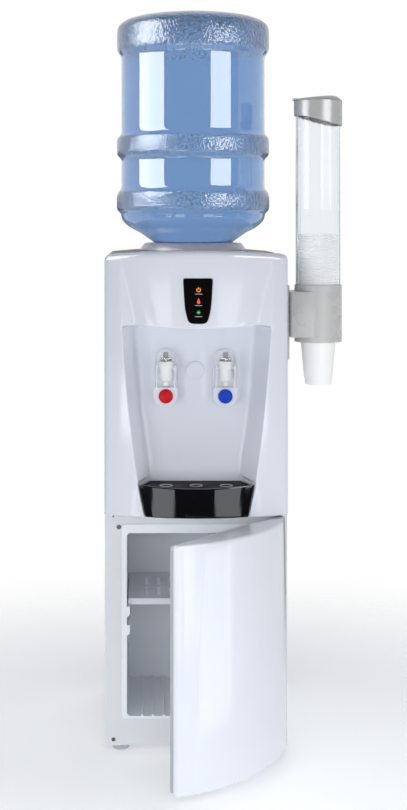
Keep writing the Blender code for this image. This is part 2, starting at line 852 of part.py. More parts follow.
def make_tap(label, sx, button_colour):
    """Push tap: escutcheon, body with spout and shank, nut, valve stem, forked lever and button."""
    spot = (sx * tap_spacing / 2, tap_axis_y, tap_z)
    tap_plastic = material("tap_plastic", (0.82, 0.84, 0.84, 1), 0.25)

    plate_back = recess_back_y - tap_pad - seat_gap - tap_axis_y
    plate_front = plate_back - escutcheon_depth
    rim = 0.0022
    plate = add_object(
        f"{label}_tap_escutcheon",
        prism(stadium(escutcheon_half, -escutcheon_below, escutcheon_above),
              plate_front, plate_back, "Y"),
        plastic, cooler, spot,
    )
    dish = escutcheon_depth / 2
    cut(plate, prism(stadium(escutcheon_half - rim, rim - escutcheon_below, escutcheon_above - rim),
                     plate_front - overrun, plate_front + dish, "Y"))
    cut(plate, rod(shank_radius + seat_gap, plate_front - overrun, plate_back + overrun, small_round_sides, "Y"))

    shoulder = 0.0035
    groove = 0.0005
    bore = stem_radius + stem_gap
    profile = [
        (bore, tap_body_top), (tap_radius - groove, tap_body_top), (tap_radius, tap_body_top - groove),
        (tap_radius, groove), (tap_radius - groove, 0), (tap_radius, -groove),
        (tap_radius, tap_body_low + shoulder), (tap_radius - shoulder, tap_body_low),
        (nozzle_radius, tap_body_low - groove), (nozzle_radius, nozzle_low), (spout_bore, nozzle_low),
        (spout_bore, bore_floor), (bore, bore_floor),
    ]
    body = add_object(f"{label}_tap_body", turned(profile, small_round_sides), tap_plastic, cooler, spot)
    shank_start = tap_radius * math.cos(math.pi / 4)
    shank_end = shank_end_y - tap_axis_y
    join(body, rod(shank_radius, shank_start, shank_end, small_round_sides, "Y"))
    for side in (-1, 1):
        join(body, rod(trunnion_radius, side * (tap_radius - shoulder), side * trunnion_reach, hole_sides, "X"))

    nut_low = tap_body_top + seat_gap
    nut_radius = 0.0113
    nut_chamfer = 0.0008
    nut = add_object(
        f"{label}_tap_nut", rod(nut_radius, nut_low, nut_low + nut_height, 6),
        material("chrome", (0.62, 0.62, 0.63, 1), 0.12, 1.0), cooler, spot,
    )
    soften(nut, nut_chamfer)
    cut(nut, rod(bore, nut_low - overrun, nut_low + nut_height + overrun, small_round_sides))

    slide = empty(f"{label}_stem_slide", spot, cooler)
    tip = 0.0012
    top = nut_low + nut_height + stem_rise
    low = bore_floor + seat_gap
    add_object(
        f"{label}_tap_stem",
        turned([(0, low), (stem_radius - tip, low), (stem_radius, low + tip), (stem_radius, top - tip),
                (stem_radius - tip, top), (0, top)], 12),
        material("grey_stem", (0.30, 0.30, 0.31, 1), 0.4), slide,
    )

    pivot = empty(f"{label}_lever_pivot", spot, cooler)
    lever = add_object(
        f"{label}_tap_lever",
        prism(stadium(paddle_half, paddle_low, paddle_high + paddle_half)[9:]
              + [(-paddle_half, paddle_high), (paddle_half, paddle_high)][::-1],
              paddle_front, paddle_front + paddle_thickness, "Y"),
        tap_plastic, pivot,
    )
    ear = 0.0062
    rear = paddle_front + paddle_thickness
    neck = paddle_high - paddle_thickness
    shin = mix(paddle_high, 0, shin_share)
    arm = [
        (paddle_front, neck), (rear, neck), (rear, shin), (ear, ear), (-ear, ear), (-ear, -ear),
        (paddle_front - paddle_thickness, shin - ear),
    ]
    for side in (-1, 1):
        inner = side * arm_inner
        outer = side * arm_outer
        join(lever, prism(arm, min(inner, outer), max(inner, outer), "X"))
    cut(lever, rod(trunnion_radius + seat_gap, -arm_outer - overrun, arm_outer + overrun, hole_sides, "X"))
    crown = 0.0008
    face = paddle_front - seat_gap - button_depth
    add_object(
        f"{label}_tap_button",
        turned([(0, face), (button_radius - crown, face), (button_radius, face + crown),
                (button_radius, face + button_depth), (0, face + button_depth)], 16, "Y"),
        material(f"{label}_button", button_colour, 0.3), pivot, (0, 0, mix(paddle_low, paddle_high, button_share)),
    )


# Drip tray and grille
tray_rim = 0.0055
tray_wall = 0.0025
grille_depth = 0.0030
grille_ledge = 0.0015
grille_recess = 0.0005
rosette_spacing = tap_spacing / 2
rosette_setback = 0.007
rosette_y = edge_y + rosette_setback
rosette_hole = 0.0022
rosette_ring = 0.0070
rosette_count = 4


def tray_outline(front_half, inset=0):
    """Plan of the tray: narrower at the back, front edge following the housing's bow."""
    front_x = front_half - inset
    back_x = tray_back_at(front_half, arc_y(front_half)) - inset
    back = tray_back_y - slide_gap - inset
    steps = 10
    front = []
    for i in range(steps + 1):
        x = -front_x + 2 * front_x * i / steps
        front.append((x, arc_y(x, inset)))
    return front + [(back_x, back), (-back_x, back)]


def ring_at(outline, z):
    return [(x, y, z) for x, y in outline]


def make_tray():
    pull = empty("tray_slide", (0, tray_back_y, tray_floor_z), cooler)
    shift = (0, -tray_back_y, -tray_floor_z)
    black = material("tray_black", black_gloss, 0.15)
    low = cabinet_top + seat_gap
    tray = add_object(
        "drip_tray",
        loft([ring_at(tray_outline(tray_half_at(low)), low),
              ring_at(tray_outline(tray_half_at(tray_top_z)), tray_top_z)], True),
        black, pull, shift, smooth=False,
    )
    front_half = tray_front_half_low + overrun
    under = []
    steps = 10
    for i in range(steps + 1):
        x = -front_half + 2 * front_half * i / steps
        under.append((x, arc_y(x) + tray_skirt))
    under += [(front_half, tray_back_y + overrun), (-front_half, tray_back_y + overrun)]
    cut(tray, prism(under, low - overrun, tray_floor_z + seat_gap))
    seat = tray_top_z - grille_recess - grille_depth - seat_gap
    inner = tray_rim + grille_ledge
    floor = tray_floor_z + seat_gap + tray_wall
    cut(tray, loft([ring_at(tray_outline(tray_half_at(floor), inner), floor),
                    ring_at(tray_outline(tray_half_at(tray_top_z), inner), tray_top_z + overrun)],
                   True))
    cut(tray, loft([ring_at(tray_outline(tray_half_at(seat), tray_rim), seat),
                    ring_at(tray_outline(tray_half_at(seat), tray_rim), tray_top_z + overrun)]))
    lift = empty("grille_lift", (0, 0, 0), pull)
    edge = tray_rim + slide_gap
    plate = tray_outline(tray_half_at(seat), edge)
    grille = add_object(
        "drip_grille", prism(plate, seat + seat_gap, seat + seat_gap + grille_depth), black, lift, shift,
        smooth=False,
    )
    holes = []
    for i in (-1, 0, 1):
        spots = [(0, 0)] + [
            (rosette_ring * math.cos(k * math.tau / rosette_count),
             rosette_ring * math.sin(k * math.tau / rosette_count)) for k in range(rosette_count)
        ]
        for dx, dy in spots:
            holes.append(rod(rosette_hole, seat - overrun, tray_top_z + overrun, 5, "Z",
                             (i * rosette_spacing + dx, rosette_y + dy)))
    cut(grille, merge(*holes))


# Top cover and bottle collar
cover_thickness = 0.004
collar_top_radius = 0.082
collar_base_radius = 0.091
collar_seat_drop = 0.0117
collar_seat_z = collar_top_z - collar_seat_drop
spigot_radius = 0.0795
spigot_low = housing_top - plastic_wall / 3
well_radius = 0.036
well_depth = 0.0625
well_low = collar_top_z - well_depth
collar_wall = 0.003
cone_wall = 0.0048


def make_top_cover():
    """Domed lid behind the housing's top flange, with a round seat for the bottle collar."""
    side = half_width
    count = 8
    rise = edge_radius
    edge = side - rise
    steps = 3
    arch = []
    for i in range(steps + 1):
        a = math.pi / 2 * (1 - i / steps)
        arch.append((edge + rise * math.cos(a) , housing_top - rise + rise * math.sin(a)))
    half_top = []
    for i in range(count // 2 + 1):
        x = edge * i / (count / 2)
        half_top.append((x, domed(x, housing_top - top_dome * (1 - (edge / half_width) ** 2) * (x / edge) ** 2)))
    upper = half_top + arch[1:]
    lower = []
    for x, z in upper:
        share = x / side
        lower.append((x - cover_thickness * max(0, (x - edge) / rise), z - cover_thickness * (1 - share ** 8)))
    outline = [(-x, z) for x, z in reversed(upper[1:])] + upper
    outline += list(reversed(lower))[:-1] + [(-x, z) for x, z in lower]
    cover = add_object("top_cover", prism(outline, centre_y, back_y, "Y"), plastic, cooler)
    tongue_inset = housing_flange + slide_gap + seat_gap
    tongue_half = half_width - tongue_inset
    notch_y = housing_back_y + seat_gap
    steps = 12
    tongue_end = tongue_half - least_corner
    keep = []
    for i in range(steps + 1):
        x = -tongue_end + 2 * tongue_end * i / steps
        keep.append((x, arc_y(x, tongue_inset)))
    corner = (tongue_half, keep[-1][1] + least_corner)
    keep = [(-corner[0], corner[1])] + keep + [corner]
    outer = half_width + overrun
    front = centre_y - overrun
    ring = [(-outer, notch_y), (-outer, front), (outer, front), (outer, notch_y), (tongue_half, notch_y)]
    ring += list(reversed(keep)) + [(-tongue_half, notch_y)]
    cut(cover, prism(ring, housing_top - housing_flange, housing_top + housing_flange))
    low = housing_top - housing_flange
    high = housing_top + housing_flange
    bore = spigot_radius + seat_gap
    seat = collar_base_radius + seat_gap
    floor = collar_seat_z - seat_gap
    cut(cover, turned([(0, low), (bore, low), (bore, floor), (seat, floor), (seat, high), (0, high)]))


# Bottle: shoulder cone, neck and body share their places with the collar's seat
shoulder_outer = 0.0945
shoulder_rise = 0.0185
shoulder_high = collar_top_z + shoulder_rise
neck_radius = 0.0275
cone_end_radius = 0.0300
shoulder_slope = 0.713
neck_depth = 0.055
neck_low = collar_top_z - neck_depth
bottle_wall = 0.0018
band_reach = 0.008
band_slope = 0.0045
knuckle_radius = 0.1196
knuckle_rise = 0.0143
band_steps = ((0.0475, 0.0325), (0.2220, 0.0383), (0.3193, 0.0383))
dome_steps = ((0.0020, 0.1005), (0.0085, 0.0410), (0.0250, 0.0120), (0.0410, 0.0010))
cone_low_z = shoulder_high - (shoulder_outer - cone_end_radius) * shoulder_slope
seat_drop = 0.0004


def cone_z(radius):
    return shoulder_high - (shoulder_outer - radius) * shoulder_slope


def make_collar():
    seat_radius = shoulder_outer - (shoulder_high - collar_top_z - seat_drop) / shoulder_slope
    mouth = well_radius + collar_wall
    flat = cone_wall
    profile = [
        (collar_base_radius, collar_seat_z), (collar_top_radius, collar_top_z),
        (seat_radius, collar_top_z),
        (well_radius + seat_gap, cone_z(well_radius) - seat_drop), (well_radius, well_low),
        (mouth, well_low), (mouth, cone_z(mouth) - flat), (seat_radius, cone_z(seat_radius) - flat),
        (spigot_radius - collar_wall, cone_z(seat_radius) - flat), (spigot_radius - collar_wall, spigot_low),
        (spigot_radius, spigot_low), (spigot_radius, collar_seat_z),
    ]
    add_object("bottle_collar", turned(profile), material("collar_plastic", grey_white, 0.3), cooler)


def make_bottle():
    """Inverted bottle: domed base up, three proud bands, waisted walls, shoulder and open neck."""
    lift = empty("bottle_lift", (0, 0, 0), cooler)
    dome = [(bottle_crown_z - drop, bottle_radius - inset) for drop, inset in dome_steps]
    bands = [(bottle_crown_z - drop, bottle_crown_z - drop - height) for drop, height in band_steps]
    wall = bottle_radius - band_reach
    outer = [
        (neck_radius, neck_low), (neck_radius, cone_low_z - band_slope), (cone_end_radius, cone_low_z),
        (shoulder_outer, shoulder_high), (knuckle_radius, shoulder_high + knuckle_rise),
        (wall - seat_gap, shoulder_high + knuckle_rise * 2),
    ]
    for k, (high, low) in reversed(list(enumerate(bands))):
        outer += [(bottle_radius, low), (bottle_radius, high)]
        if k:
            outer += [(wall, high + band_slope), (wall, bands[k - 1][1] - band_slope)]
    outer += [(r, z) for z, r in reversed(dome)] + [(0, bottle_crown_z)]
    inner = [
        (0, bottle_crown_z - bottle_wall),
        (dome[1][1] - bottle_wall, dome[1][0] - bottle_wall),
        (dome[3][1] - bottle_wall - band_slope, dome[3][0] - bottle_wall),
        (wall - bottle_wall, bands[0][1]),
        (wall - bottle_wall, bands[2][1] - band_slope),
        (knuckle_radius - bottle_wall, shoulder_high + knuckle_rise + bottle_wall),
        (shoulder_outer - bottle_wall, shoulder_high + bottle_wall),
        (cone_end_radius - bottle_wall, cone_low_z + bottle_wall),
        (neck_radius - bottle_wall, cone_low_z - band_slope),
        (neck_radius - bottle_wall, neck_low),
    ]
    clear = material("bottle_plastic", (0.42, 0.62, 0.86, 1), 0.06, 0.0, 0.45)
    add_object("water_bottle", turned(outer + inner), clear, lift)
    cap_gap = seat_gap
    cap_wall = 0.0018
    cap_height = 0.018
    probe_hole = 0.0105
    inside = neck_radius + cap_gap
    under = neck_low - cap_gap
    profile = [
        (probe_hole, under - cap_wall), (inside + cap_wall, under - cap_wall),
        (inside + cap_wall, under + cap_height), (inside, under + cap_height), (inside, under),
        (probe_hole, under),
    ]
    add_object("bottle_cap", turned(profile), material("cap_blue", (0.10, 0.25, 0.60, 1), 0.4), lift)


# Water path inside the housing
tank_radius = 0.070
tank_wall = 0.002
shelf_above_tap = 0.014
tank_shelf_z = tap_z + shelf_above_tap
probe_stand = 0.0037
cold_tank_high = well_low - probe_stand
hot_tank_radius = 0.048
hot_tank_setback = 0.150
hot_tank_y = back_y - hot_tank_setback
hot_tank_share = 0.6251
hose_radius = 0.004
divider_z = cabinet_top + seat_gap
hot_tank_high = divider_z + (tank_shelf_z - divider_z) * hot_tank_share
outlet_x = 0.020
feed_setback = 0.020
cold_outlet = 0.040
cold_outlet_y = -0.030
probe_plate = 0.003
probe_radius = 0.009
probe_bore = 0.005
probe_drop = 0.0225
probe_high = collar_top_z - probe_drop


def make_water_path():
    metal = material("tank_steel", (0.55, 0.56, 0.57, 1), 0.3, 1.0)
    side = half_width - sheet - seat_gap
    front = housing_back_y + seat_gap
    back = back_y - sheet - seat_gap
    flange = 0.012
    tank_low = tank_shelf_z + sheet
    hot_out = (-outlet_x, hot_tank_y, hot_tank_high + seat_gap)
    feed_top = (outlet_x, hot_tank_y + feed_setback + hose_radius, tank_low)
    feed_low = (outlet_x, hot_tank_y + feed_setback, hot_tank_high + seat_gap)
    cold_out = (cold_outlet, cold_outlet_y, tank_low)
    for name, z in (("divider_plate", divider_z), ("tank_shelf", tank_shelf_z)):
        outline = [(-side, back), (-side, front), (side, front), (side, back)]
        plate = add_object(name, prism(outline, z, z + sheet), steel, cooler, smooth=False)
        for sx in (-1, 1):
            lip = [(sx * side, z), (sx * (side - sheet), z), (sx * (side - sheet), z + flange),
                   (sx * side, z + flange)]
            join(plate, prism(lip, front, back, "Y"))
        if name == "tank_shelf":
            clear = hose_radius * 2
            cut(plate, merge(*[rod(clear, z - overrun, z + sheet + overrun, 12, "Z", (p[0], p[1]))
                               for p in (cold_out, feed_top)]))
    low = tank_shelf_z + sheet + seat_gap
    high = cold_tank_high
    profile = [(0, low), (tank_radius, low), (tank_radius, high), (tank_radius - tank_wall, high),
               (tank_radius - tank_wall, low + tank_wall), (0, low + tank_wall)]
    add_object("cold_tank", turned(profile, 20), metal, cooler)
    plate_low = cold_tank_high + seat_gap
    plate_top = plate_low + probe_plate
    rim = tank_radius
    tip = 0.003
    profile = [
        (probe_bore, plate_low), (rim, plate_low), (rim, plate_top), (probe_radius, plate_top),
        (probe_radius, probe_high - tip), (probe_radius - tip, probe_high), (probe_bore, probe_high),
    ]
    add_object("feed_probe", turned(profile, 16), plastic, cooler)
    hot_low = divider_z + sheet + seat_gap
    dome = 0.010
    profile = [
        (0, hot_low), (hot_tank_radius - dome, hot_low), (hot_tank_radius, hot_low + dome),
        (hot_tank_radius, hot_tank_high - dome), (hot_tank_radius - dome, hot_tank_high), (0, hot_tank_high),
    ]
    add_object("hot_tank", turned(profile, 20), metal, cooler, (0, hot_tank_y, 0))
    rubber = material("hose_silicone", (0.75, 0.76, 0.78, 1), 0.5)
    tap_x = tap_spacing / 2
    start = shank_end_y + seat_gap
    bend = 0.022
    hose("cold_hose", [
        (tap_x, start, tap_z), (tap_x, start + bend / 2, tap_z), (tap_x, start + bend, tap_z - bend / 5),
        (cold_out[0] + bend / 5, cold_out[1] - bend, tap_z - bend / 3),
        (cold_out[0], cold_out[1] - bend / 4, tap_z - bend / 6),
        (cold_out[0], cold_out[1], low - bend / 2), (cold_out[0], cold_out[1], low - bend / 4), cold_out,
    ], hose_radius, rubber, cooler)
    hose("hot_hose", [
        (-tap_x, start, tap_z), (-tap_x, start + bend, tap_z),
        (-tap_x + bend / 4, start + bend * 2 + bend / 2, tap_z - bend / 2),
        (hot_out[0] - bend / 3, hot_out[1] - bend, hot_out[2] + bend * 2),
        (hot_out[0], hot_out[1], hot_out[2] + bend), (hot_out[0], hot_out[1], hot_out[2] + bend / 3), hot_out,
    ], hose_radius, rubber, cooler)
    hose("feed_hose", [
        feed_top, (feed_top[0], feed_top[1], feed_top[2] - bend / 3),
        (feed_top[0], feed_top[1], feed_top[2] - bend), (feed_low[0], feed_low[1], feed_low[2] + bend),
        (feed_low[0], feed_low[1], feed_low[2] + bend / 3), feed_low,
    ], hose_radius, rubber, cooler)


# Refrigeration and electrics at the back
compressor_radius = 0.048
compressor_setback = 0.062
compressor_y = back_y - compressor_setback
compressor_height = 0.120
condenser_low = 0.330
condenser_head = 0.041
condenser_high = housing_top - condenser_head
condenser_side = 0.032
condenser_half = half_width - condenser_side
leg_share = 0.62
crown_shares = ((0.9, 0.25), (0.65, 0.083), (0.25, 0.0))
run_count = 7
wire_count = 4
switch_z = 0.275
control_side = 0.072
switch_x = half_width - control_side
switch_pitch = 0.026
rocker_half = 0.0085
rocker_height = 0.0200
rocker_tilt = 6.0
drain_x = -switch_x
drain_z = 0.250
gland_z = 0.225
drain_pipe = 0.007
gland_neck = 0.006


def make_compressor():
    low = frame_bottom + sheet + seat_gap
    foot = 0.006
    flare = 0.004
    r = compressor_radius
    top = low + compressor_height
    profile = [
        (0, low), (r + flare, low), (r + flare, low + foot), (r, low + foot), (r, top - r / 2),
        *((r * out, top - r * down) for out, down in crown_shares), (0, top),
    ]
    add_object("compressor", turned(profile, 16), material("compressor_black", (0.02, 0.02, 0.02, 1), 0.4),
               cooler, (0, compressor_y, 0))


def make_condenser():
    """Wire-on-tube condenser: one serpentine tube crossed by upright wires, on four stand-offs."""
    pitch = (condenser_high - condenser_low) / (run_count - 1)
    turn = pitch / 2
    sides = 5
    path = []
    straight = condenser_half - turn
    for i in range(run_count):
        z = condenser_high - i * pitch
        sign = 1 if i % 2 else -1
        path.append((sign * straight, z))
        path.append((-sign * straight, z))
        if i < run_count - 1:
            for k in (1, 2):
                a = math.radians(60 * k)
                path.append((-sign * (straight + turn * math.sin(a)), z - turn + turn * math.cos(a)))
    bm = bmesh.new()
    rings = []
    for i, (x, z) in enumerate(path):
        before = Vector(path[max(i - 1, 0)])
        after = Vector(path[min(i + 1, len(path) - 1)])
        along = (after - before).normalized()
        across = Vector((-along.y, along.x))
        ring = []
        for k in range(sides):
            a = math.tau * (k + 0.5) / sides
            out = across * tube_radius * math.cos(a)
            ring.append(bm.verts.new((x + out.x, tube_radius * math.sin(a), z + out.y)))
        rings.append(ring)
    for low, high in zip(rings, rings[1:]):
        for k in range(sides):
            bm.faces.new((low[k - 1], low[k], high[k], high[k - 1]))
    bm.faces.new(rings[0])
    bm.faces.new(rings[-1][::-1])
    tube = add_object("condenser_grid", bm, dark_plastic, cooler, (0, grid_y, 0), smooth=False)
    overhang = 0.008
    middle = (wire_count - 1) / 2
    spread = straight / middle
    leg_spread = straight * leg_share
    wires = [
        rod(wire_radius, condenser_low - overhang, condenser_high + overhang, 4, "Z",
            ((i - middle) * spread, -tube_radius))
        for i in range(wire_count)
    ]
    join(tube, merge(*wires))
    leg_half = 0.003
    leg_back = back_y + seat_gap - grid_y
    legs = []
    for sx in (-1, 1):
        for z in (condenser_low + pitch, condenser_high - pitch):
            legs.append(box((sx * leg_spread - leg_half, leg_back, z - leg_half),
                            (sx * leg_spread + leg_half, 0, z + leg_half)))
    join(tube, merge(*legs))


def make_rear_controls(panel):
    """Rocker switches snapped into the back panel, the drain plug and the cord gland."""
    window_gap = 0.0005
    face = back_y + seat_gap
    through = back_y - sheet - overrun
    openings = [
        rod(drain_pipe + seat_gap, through, back_y + overrun, 16, "Y", (drain_x, drain_z)),
        rod(gland_neck + seat_gap, through, back_y + overrun, 16, "Y", (switch_x, gland_z)),
    ]
    for sx in (-1, 1):
        x = switch_x + sx * switch_pitch / 2
        openings.append(box((x - rocker_half - window_gap, through, switch_z - rocker_height / 2),
                            (x + rocker_half + window_gap, back_y + overrun, switch_z + rocker_height / 2)))
    cut(panel, merge(*openings))
    rocker_depth = 0.0045
    rocker_end = 0.0010
    for label, sx, colour in (("hot", -1, (0.6, 0.02, 0.02, 1)), ("cold", 1, (0.02, 0.30, 0.08, 1))):
        pivot = empty(f"{label}_switch_pivot", (switch_x + sx * switch_pitch / 2, face, switch_z), cooler,
                      (math.radians(rocker_tilt), 0, 0))
        reach = rocker_height / 2 - window_gap * 2
        lift = reach * math.sin(math.radians(rocker_tilt * 2))
        front = rocker_end
        profile = [(-rocker_depth, -reach / 2), (front + lift, -reach), (front, 0), (front + lift, reach),
                   (-rocker_depth, reach / 2)]
        add_object(f"{label}_switch", prism(profile, -rocker_half, rocker_half, "X"),
                   material(f"{label}_rocker", colour, 0.35), pivot, smooth=False)
    knob = 0.0115
    knob_length = 0.012
    bead = 0.0015
    inside = 0.008
    profile = [
        (0, -inside), (drain_pipe, -inside), (drain_pipe, 0), (knob, 0), (knob, knob_length - bead),
        (knob - bead, knob_length), (0, knob_length),
    ]
    add_object("drain_plug", turned(profile, 12, "Y"), plastic, cooler,
               (drain_x, face, drain_z))
    bush = 0.0095
    bush_length = 0.004
    nose = 0.0065
    nose_length = 0.012
    bore = 0.0038
    profile = [
        (bore, -inside), (gland_neck, -inside), (gland_neck, 0), (bush, 0), (bush, bush_length),
        (nose, bush_length + bead), (nose - bead, nose_length), (bore, nose_length),
    ]
    add_object("cord_gland", turned(profile, 12, "Y"), dark_plastic, cooler,
               (switch_x, face, gland_z))


# Door: skin, inner liner, gasket and hinge brackets
skin_wall = 0.003
liner_thickness = 0.0025
dam_height = 0.009
dam_width = 0.006
dam_margin = 0.009
gasket_width = 0.009
gasket_free_inset = 0.002
gasket_hinge_inset = 0.009
pin_radius = 0.0022
pin_hole = 0.0026
leaf = 0.0015


def make_door():
    """Bowed skin, dished inner liner with a dam, and a perimeter gasket, all about the hinge pin."""
    pivot = empty("door_pivot", (hinge_x, hinge_y, 0), cooler, (0, 0, door_swing))
    shift = (-hinge_x, -hinge_y, 0)
    rise = 0.0020
    outer = bowed_outline(door_half, door_back_y)
    eased = [(x * (1 - rise / door_half), y + rise if y < door_back_y else y) for x, y in outer]
    skin = add_object(
        "door_skin",
        loft([ring_at(eased, door_low_z), ring_at(outer, door_low_z + rise),
              ring_at(outer, door_high_z - rise), ring_at(eased, door_high_z)]),
        plastic, pivot, shift,
    )
    hollow = bowed_outline(door_half - skin_wall, door_back_y + overrun, skin_wall, edge_radius - skin_wall)
    cut(skin, prism(hollow, door_low_z + skin_wall, door_high_z - skin_wall))
    holes = rod(pin_hole, door_low_z - overrun, door_high_z + overrun, hole_sides, "Z", (hinge_x, hinge_y))
    cut(skin, holes)

    side = door_half - skin_wall - seat_gap
    low = door_low_z + skin_wall + seat_gap
    high = door_high_z - skin_wall - seat_gap
    pocket = door_half - hinge_x + hinge_inset
    outline = [
        (-side, door_back_y), (side, door_back_y), (side, door_back_y - liner_thickness),
        (-side, door_back_y - liner_thickness),
    ]
    inner = add_object("door_liner", prism(outline, low, high), liner_plastic, pivot, shift, smooth=False)
    dam_side = mouth_half - dam_margin
    dam_low = mouth_low + dam_margin
    dam_high = mouth_high - dam_margin
    outside = rounded_rect(-dam_side, dam_low, dam_side, dam_high, liner_radius)
    inside = rounded_rect(-dam_side + dam_width, dam_low + dam_width, dam_side - dam_width,
                          dam_high - dam_width, liner_radius / 2)
    join(inner, prism(outside, door_back_y - liner_thickness / 2, door_back_y + dam_height, "Y"))
    cut(inner, prism(inside, door_back_y, door_back_y + dam_height + overrun, "Y"))
    notch = pocket
    cut(inner, merge(
        box((hinge_x - notch / 2, door_back_y - liner_thickness - overrun, low - overrun),
            (side + overrun, door_back_y + overrun, low + notch)),
        box((hinge_x - notch / 2, door_back_y - liner_thickness - overrun, high - notch),
            (side + overrun, door_back_y + overrun, high + overrun)),
    ))

    front = door_back_y + seat_gap
    back = front + gasket_depth - seat_gap
    left = -door_half + gasket_free_inset
    right = door_half - gasket_hinge_inset
    bottom = door_low_z + gasket_free_inset
    top = door_high_z - gasket_free_inset
    seal = add_object(
        "door_gasket", prism(rounded_rect(left, bottom, right, top, liner_radius), front, back, "Y"),
        material("gasket_grey", (0.50, 0.51, 0.53, 1), 0.6), pivot, shift,
    )
    cut(seal, prism(
        rounded_rect(left + gasket_width, bottom + gasket_width, right - gasket_width, top - gasket_width,
                     liner_radius / 2), front - overrun, back + overrun, "Y",
    ))


def make_hinges():
    """Upper leaf over the front frame with its pin down, lower angle on the frame with its pin up."""
    bracket = material("hinge_steel", (0.45, 0.45, 0.46, 1), 0.35, 1.0)
    arm_half = 0.0040
    arm_front = hinge_y - pin_radius - leaf
    arm_root = 0.020
    engage = 0.011
    low = frame_top + seat_gap
    upper = add_object(
        "upper_hinge",
        box((hinge_x - arm_half, arm_front, low), (hinge_x + arm_half, frame_y + arm_root, low + leaf)),
        bracket, cooler, smooth=False,
    )
    join(upper, rod(pin_radius, door_high_z - engage, low + leaf / 2, hole_sides, "Z", (hinge_x, hinge_y)))
    face = frame_y - seat_gap
    top = door_low_z - seat_gap
    reach = 0.024
    edge = half_width - panel_lip - seat_gap
    lower = add_object(
        "lower_hinge", box((edge - reach, face - leaf, frame_bottom), (edge, face, top)),
        bracket, cooler, smooth=False,
    )
    join(lower, box((hinge_x - arm_half, arm_front, top - leaf), (edge, face - leaf / 2, top)))
    join(lower, rod(pin_radius, top - leaf / 2, door_low_z + engage, hole_sides, "Z", (hinge_x, hinge_y)))


# Cup dispenser on the right side panel
plate_thickness = 0.009
plate_half = 0.030
holder_drop = 0.0534
plate_height = 0.1271
holder_height = 0.0981
block_margin_low = 0.0091
block_margin_high = 0.0110
socket_depth = 0.0776
holder_high = housing_top - holder_drop
plate_high = holder_high
plate_low = plate_high - plate_height
holder_low = holder_high - holder_height
block_low = holder_low + block_margin_low
block_high = holder_high - block_margin_high
block_half = 0.039
socket_z = holder_high - socket_depth
tube_outer = 0.0385
tube_wall = 0.0026
flute_count = 20
flute_depth = 0.0004
tube_rise = 0.3074
tube_head = 0.0086
collar_left_height = 0.0231
collar_right_height = 0.0429
tube_high = holder_high + tube_rise
seam_z = tube_high + tube_head
collar_left_z = seam_z - collar_left_height
collar_right_z = seam_z - collar_right_height
collar_radius = 0.0415
lid_crown = 0.0103
cup_rim_radius = 0.0353
cup_base_radius = 0.0221
cup_hang = 0.0735
cup_low = holder_low - cup_hang
cup_height = 0.1220
cup_wall = 0.0008
cup_count = 6
stack_rise = 0.0899
stack_high_z = holder_high + stack_rise
mark_radius = 0.0188
mark_offset = 0.0259
lid_shares = (0.0, 0.1, 0.55, 1.0, 1.0)
lid_lean_share = 0.65
lid_flat_share = 0.62
lid_top_share = 0.25


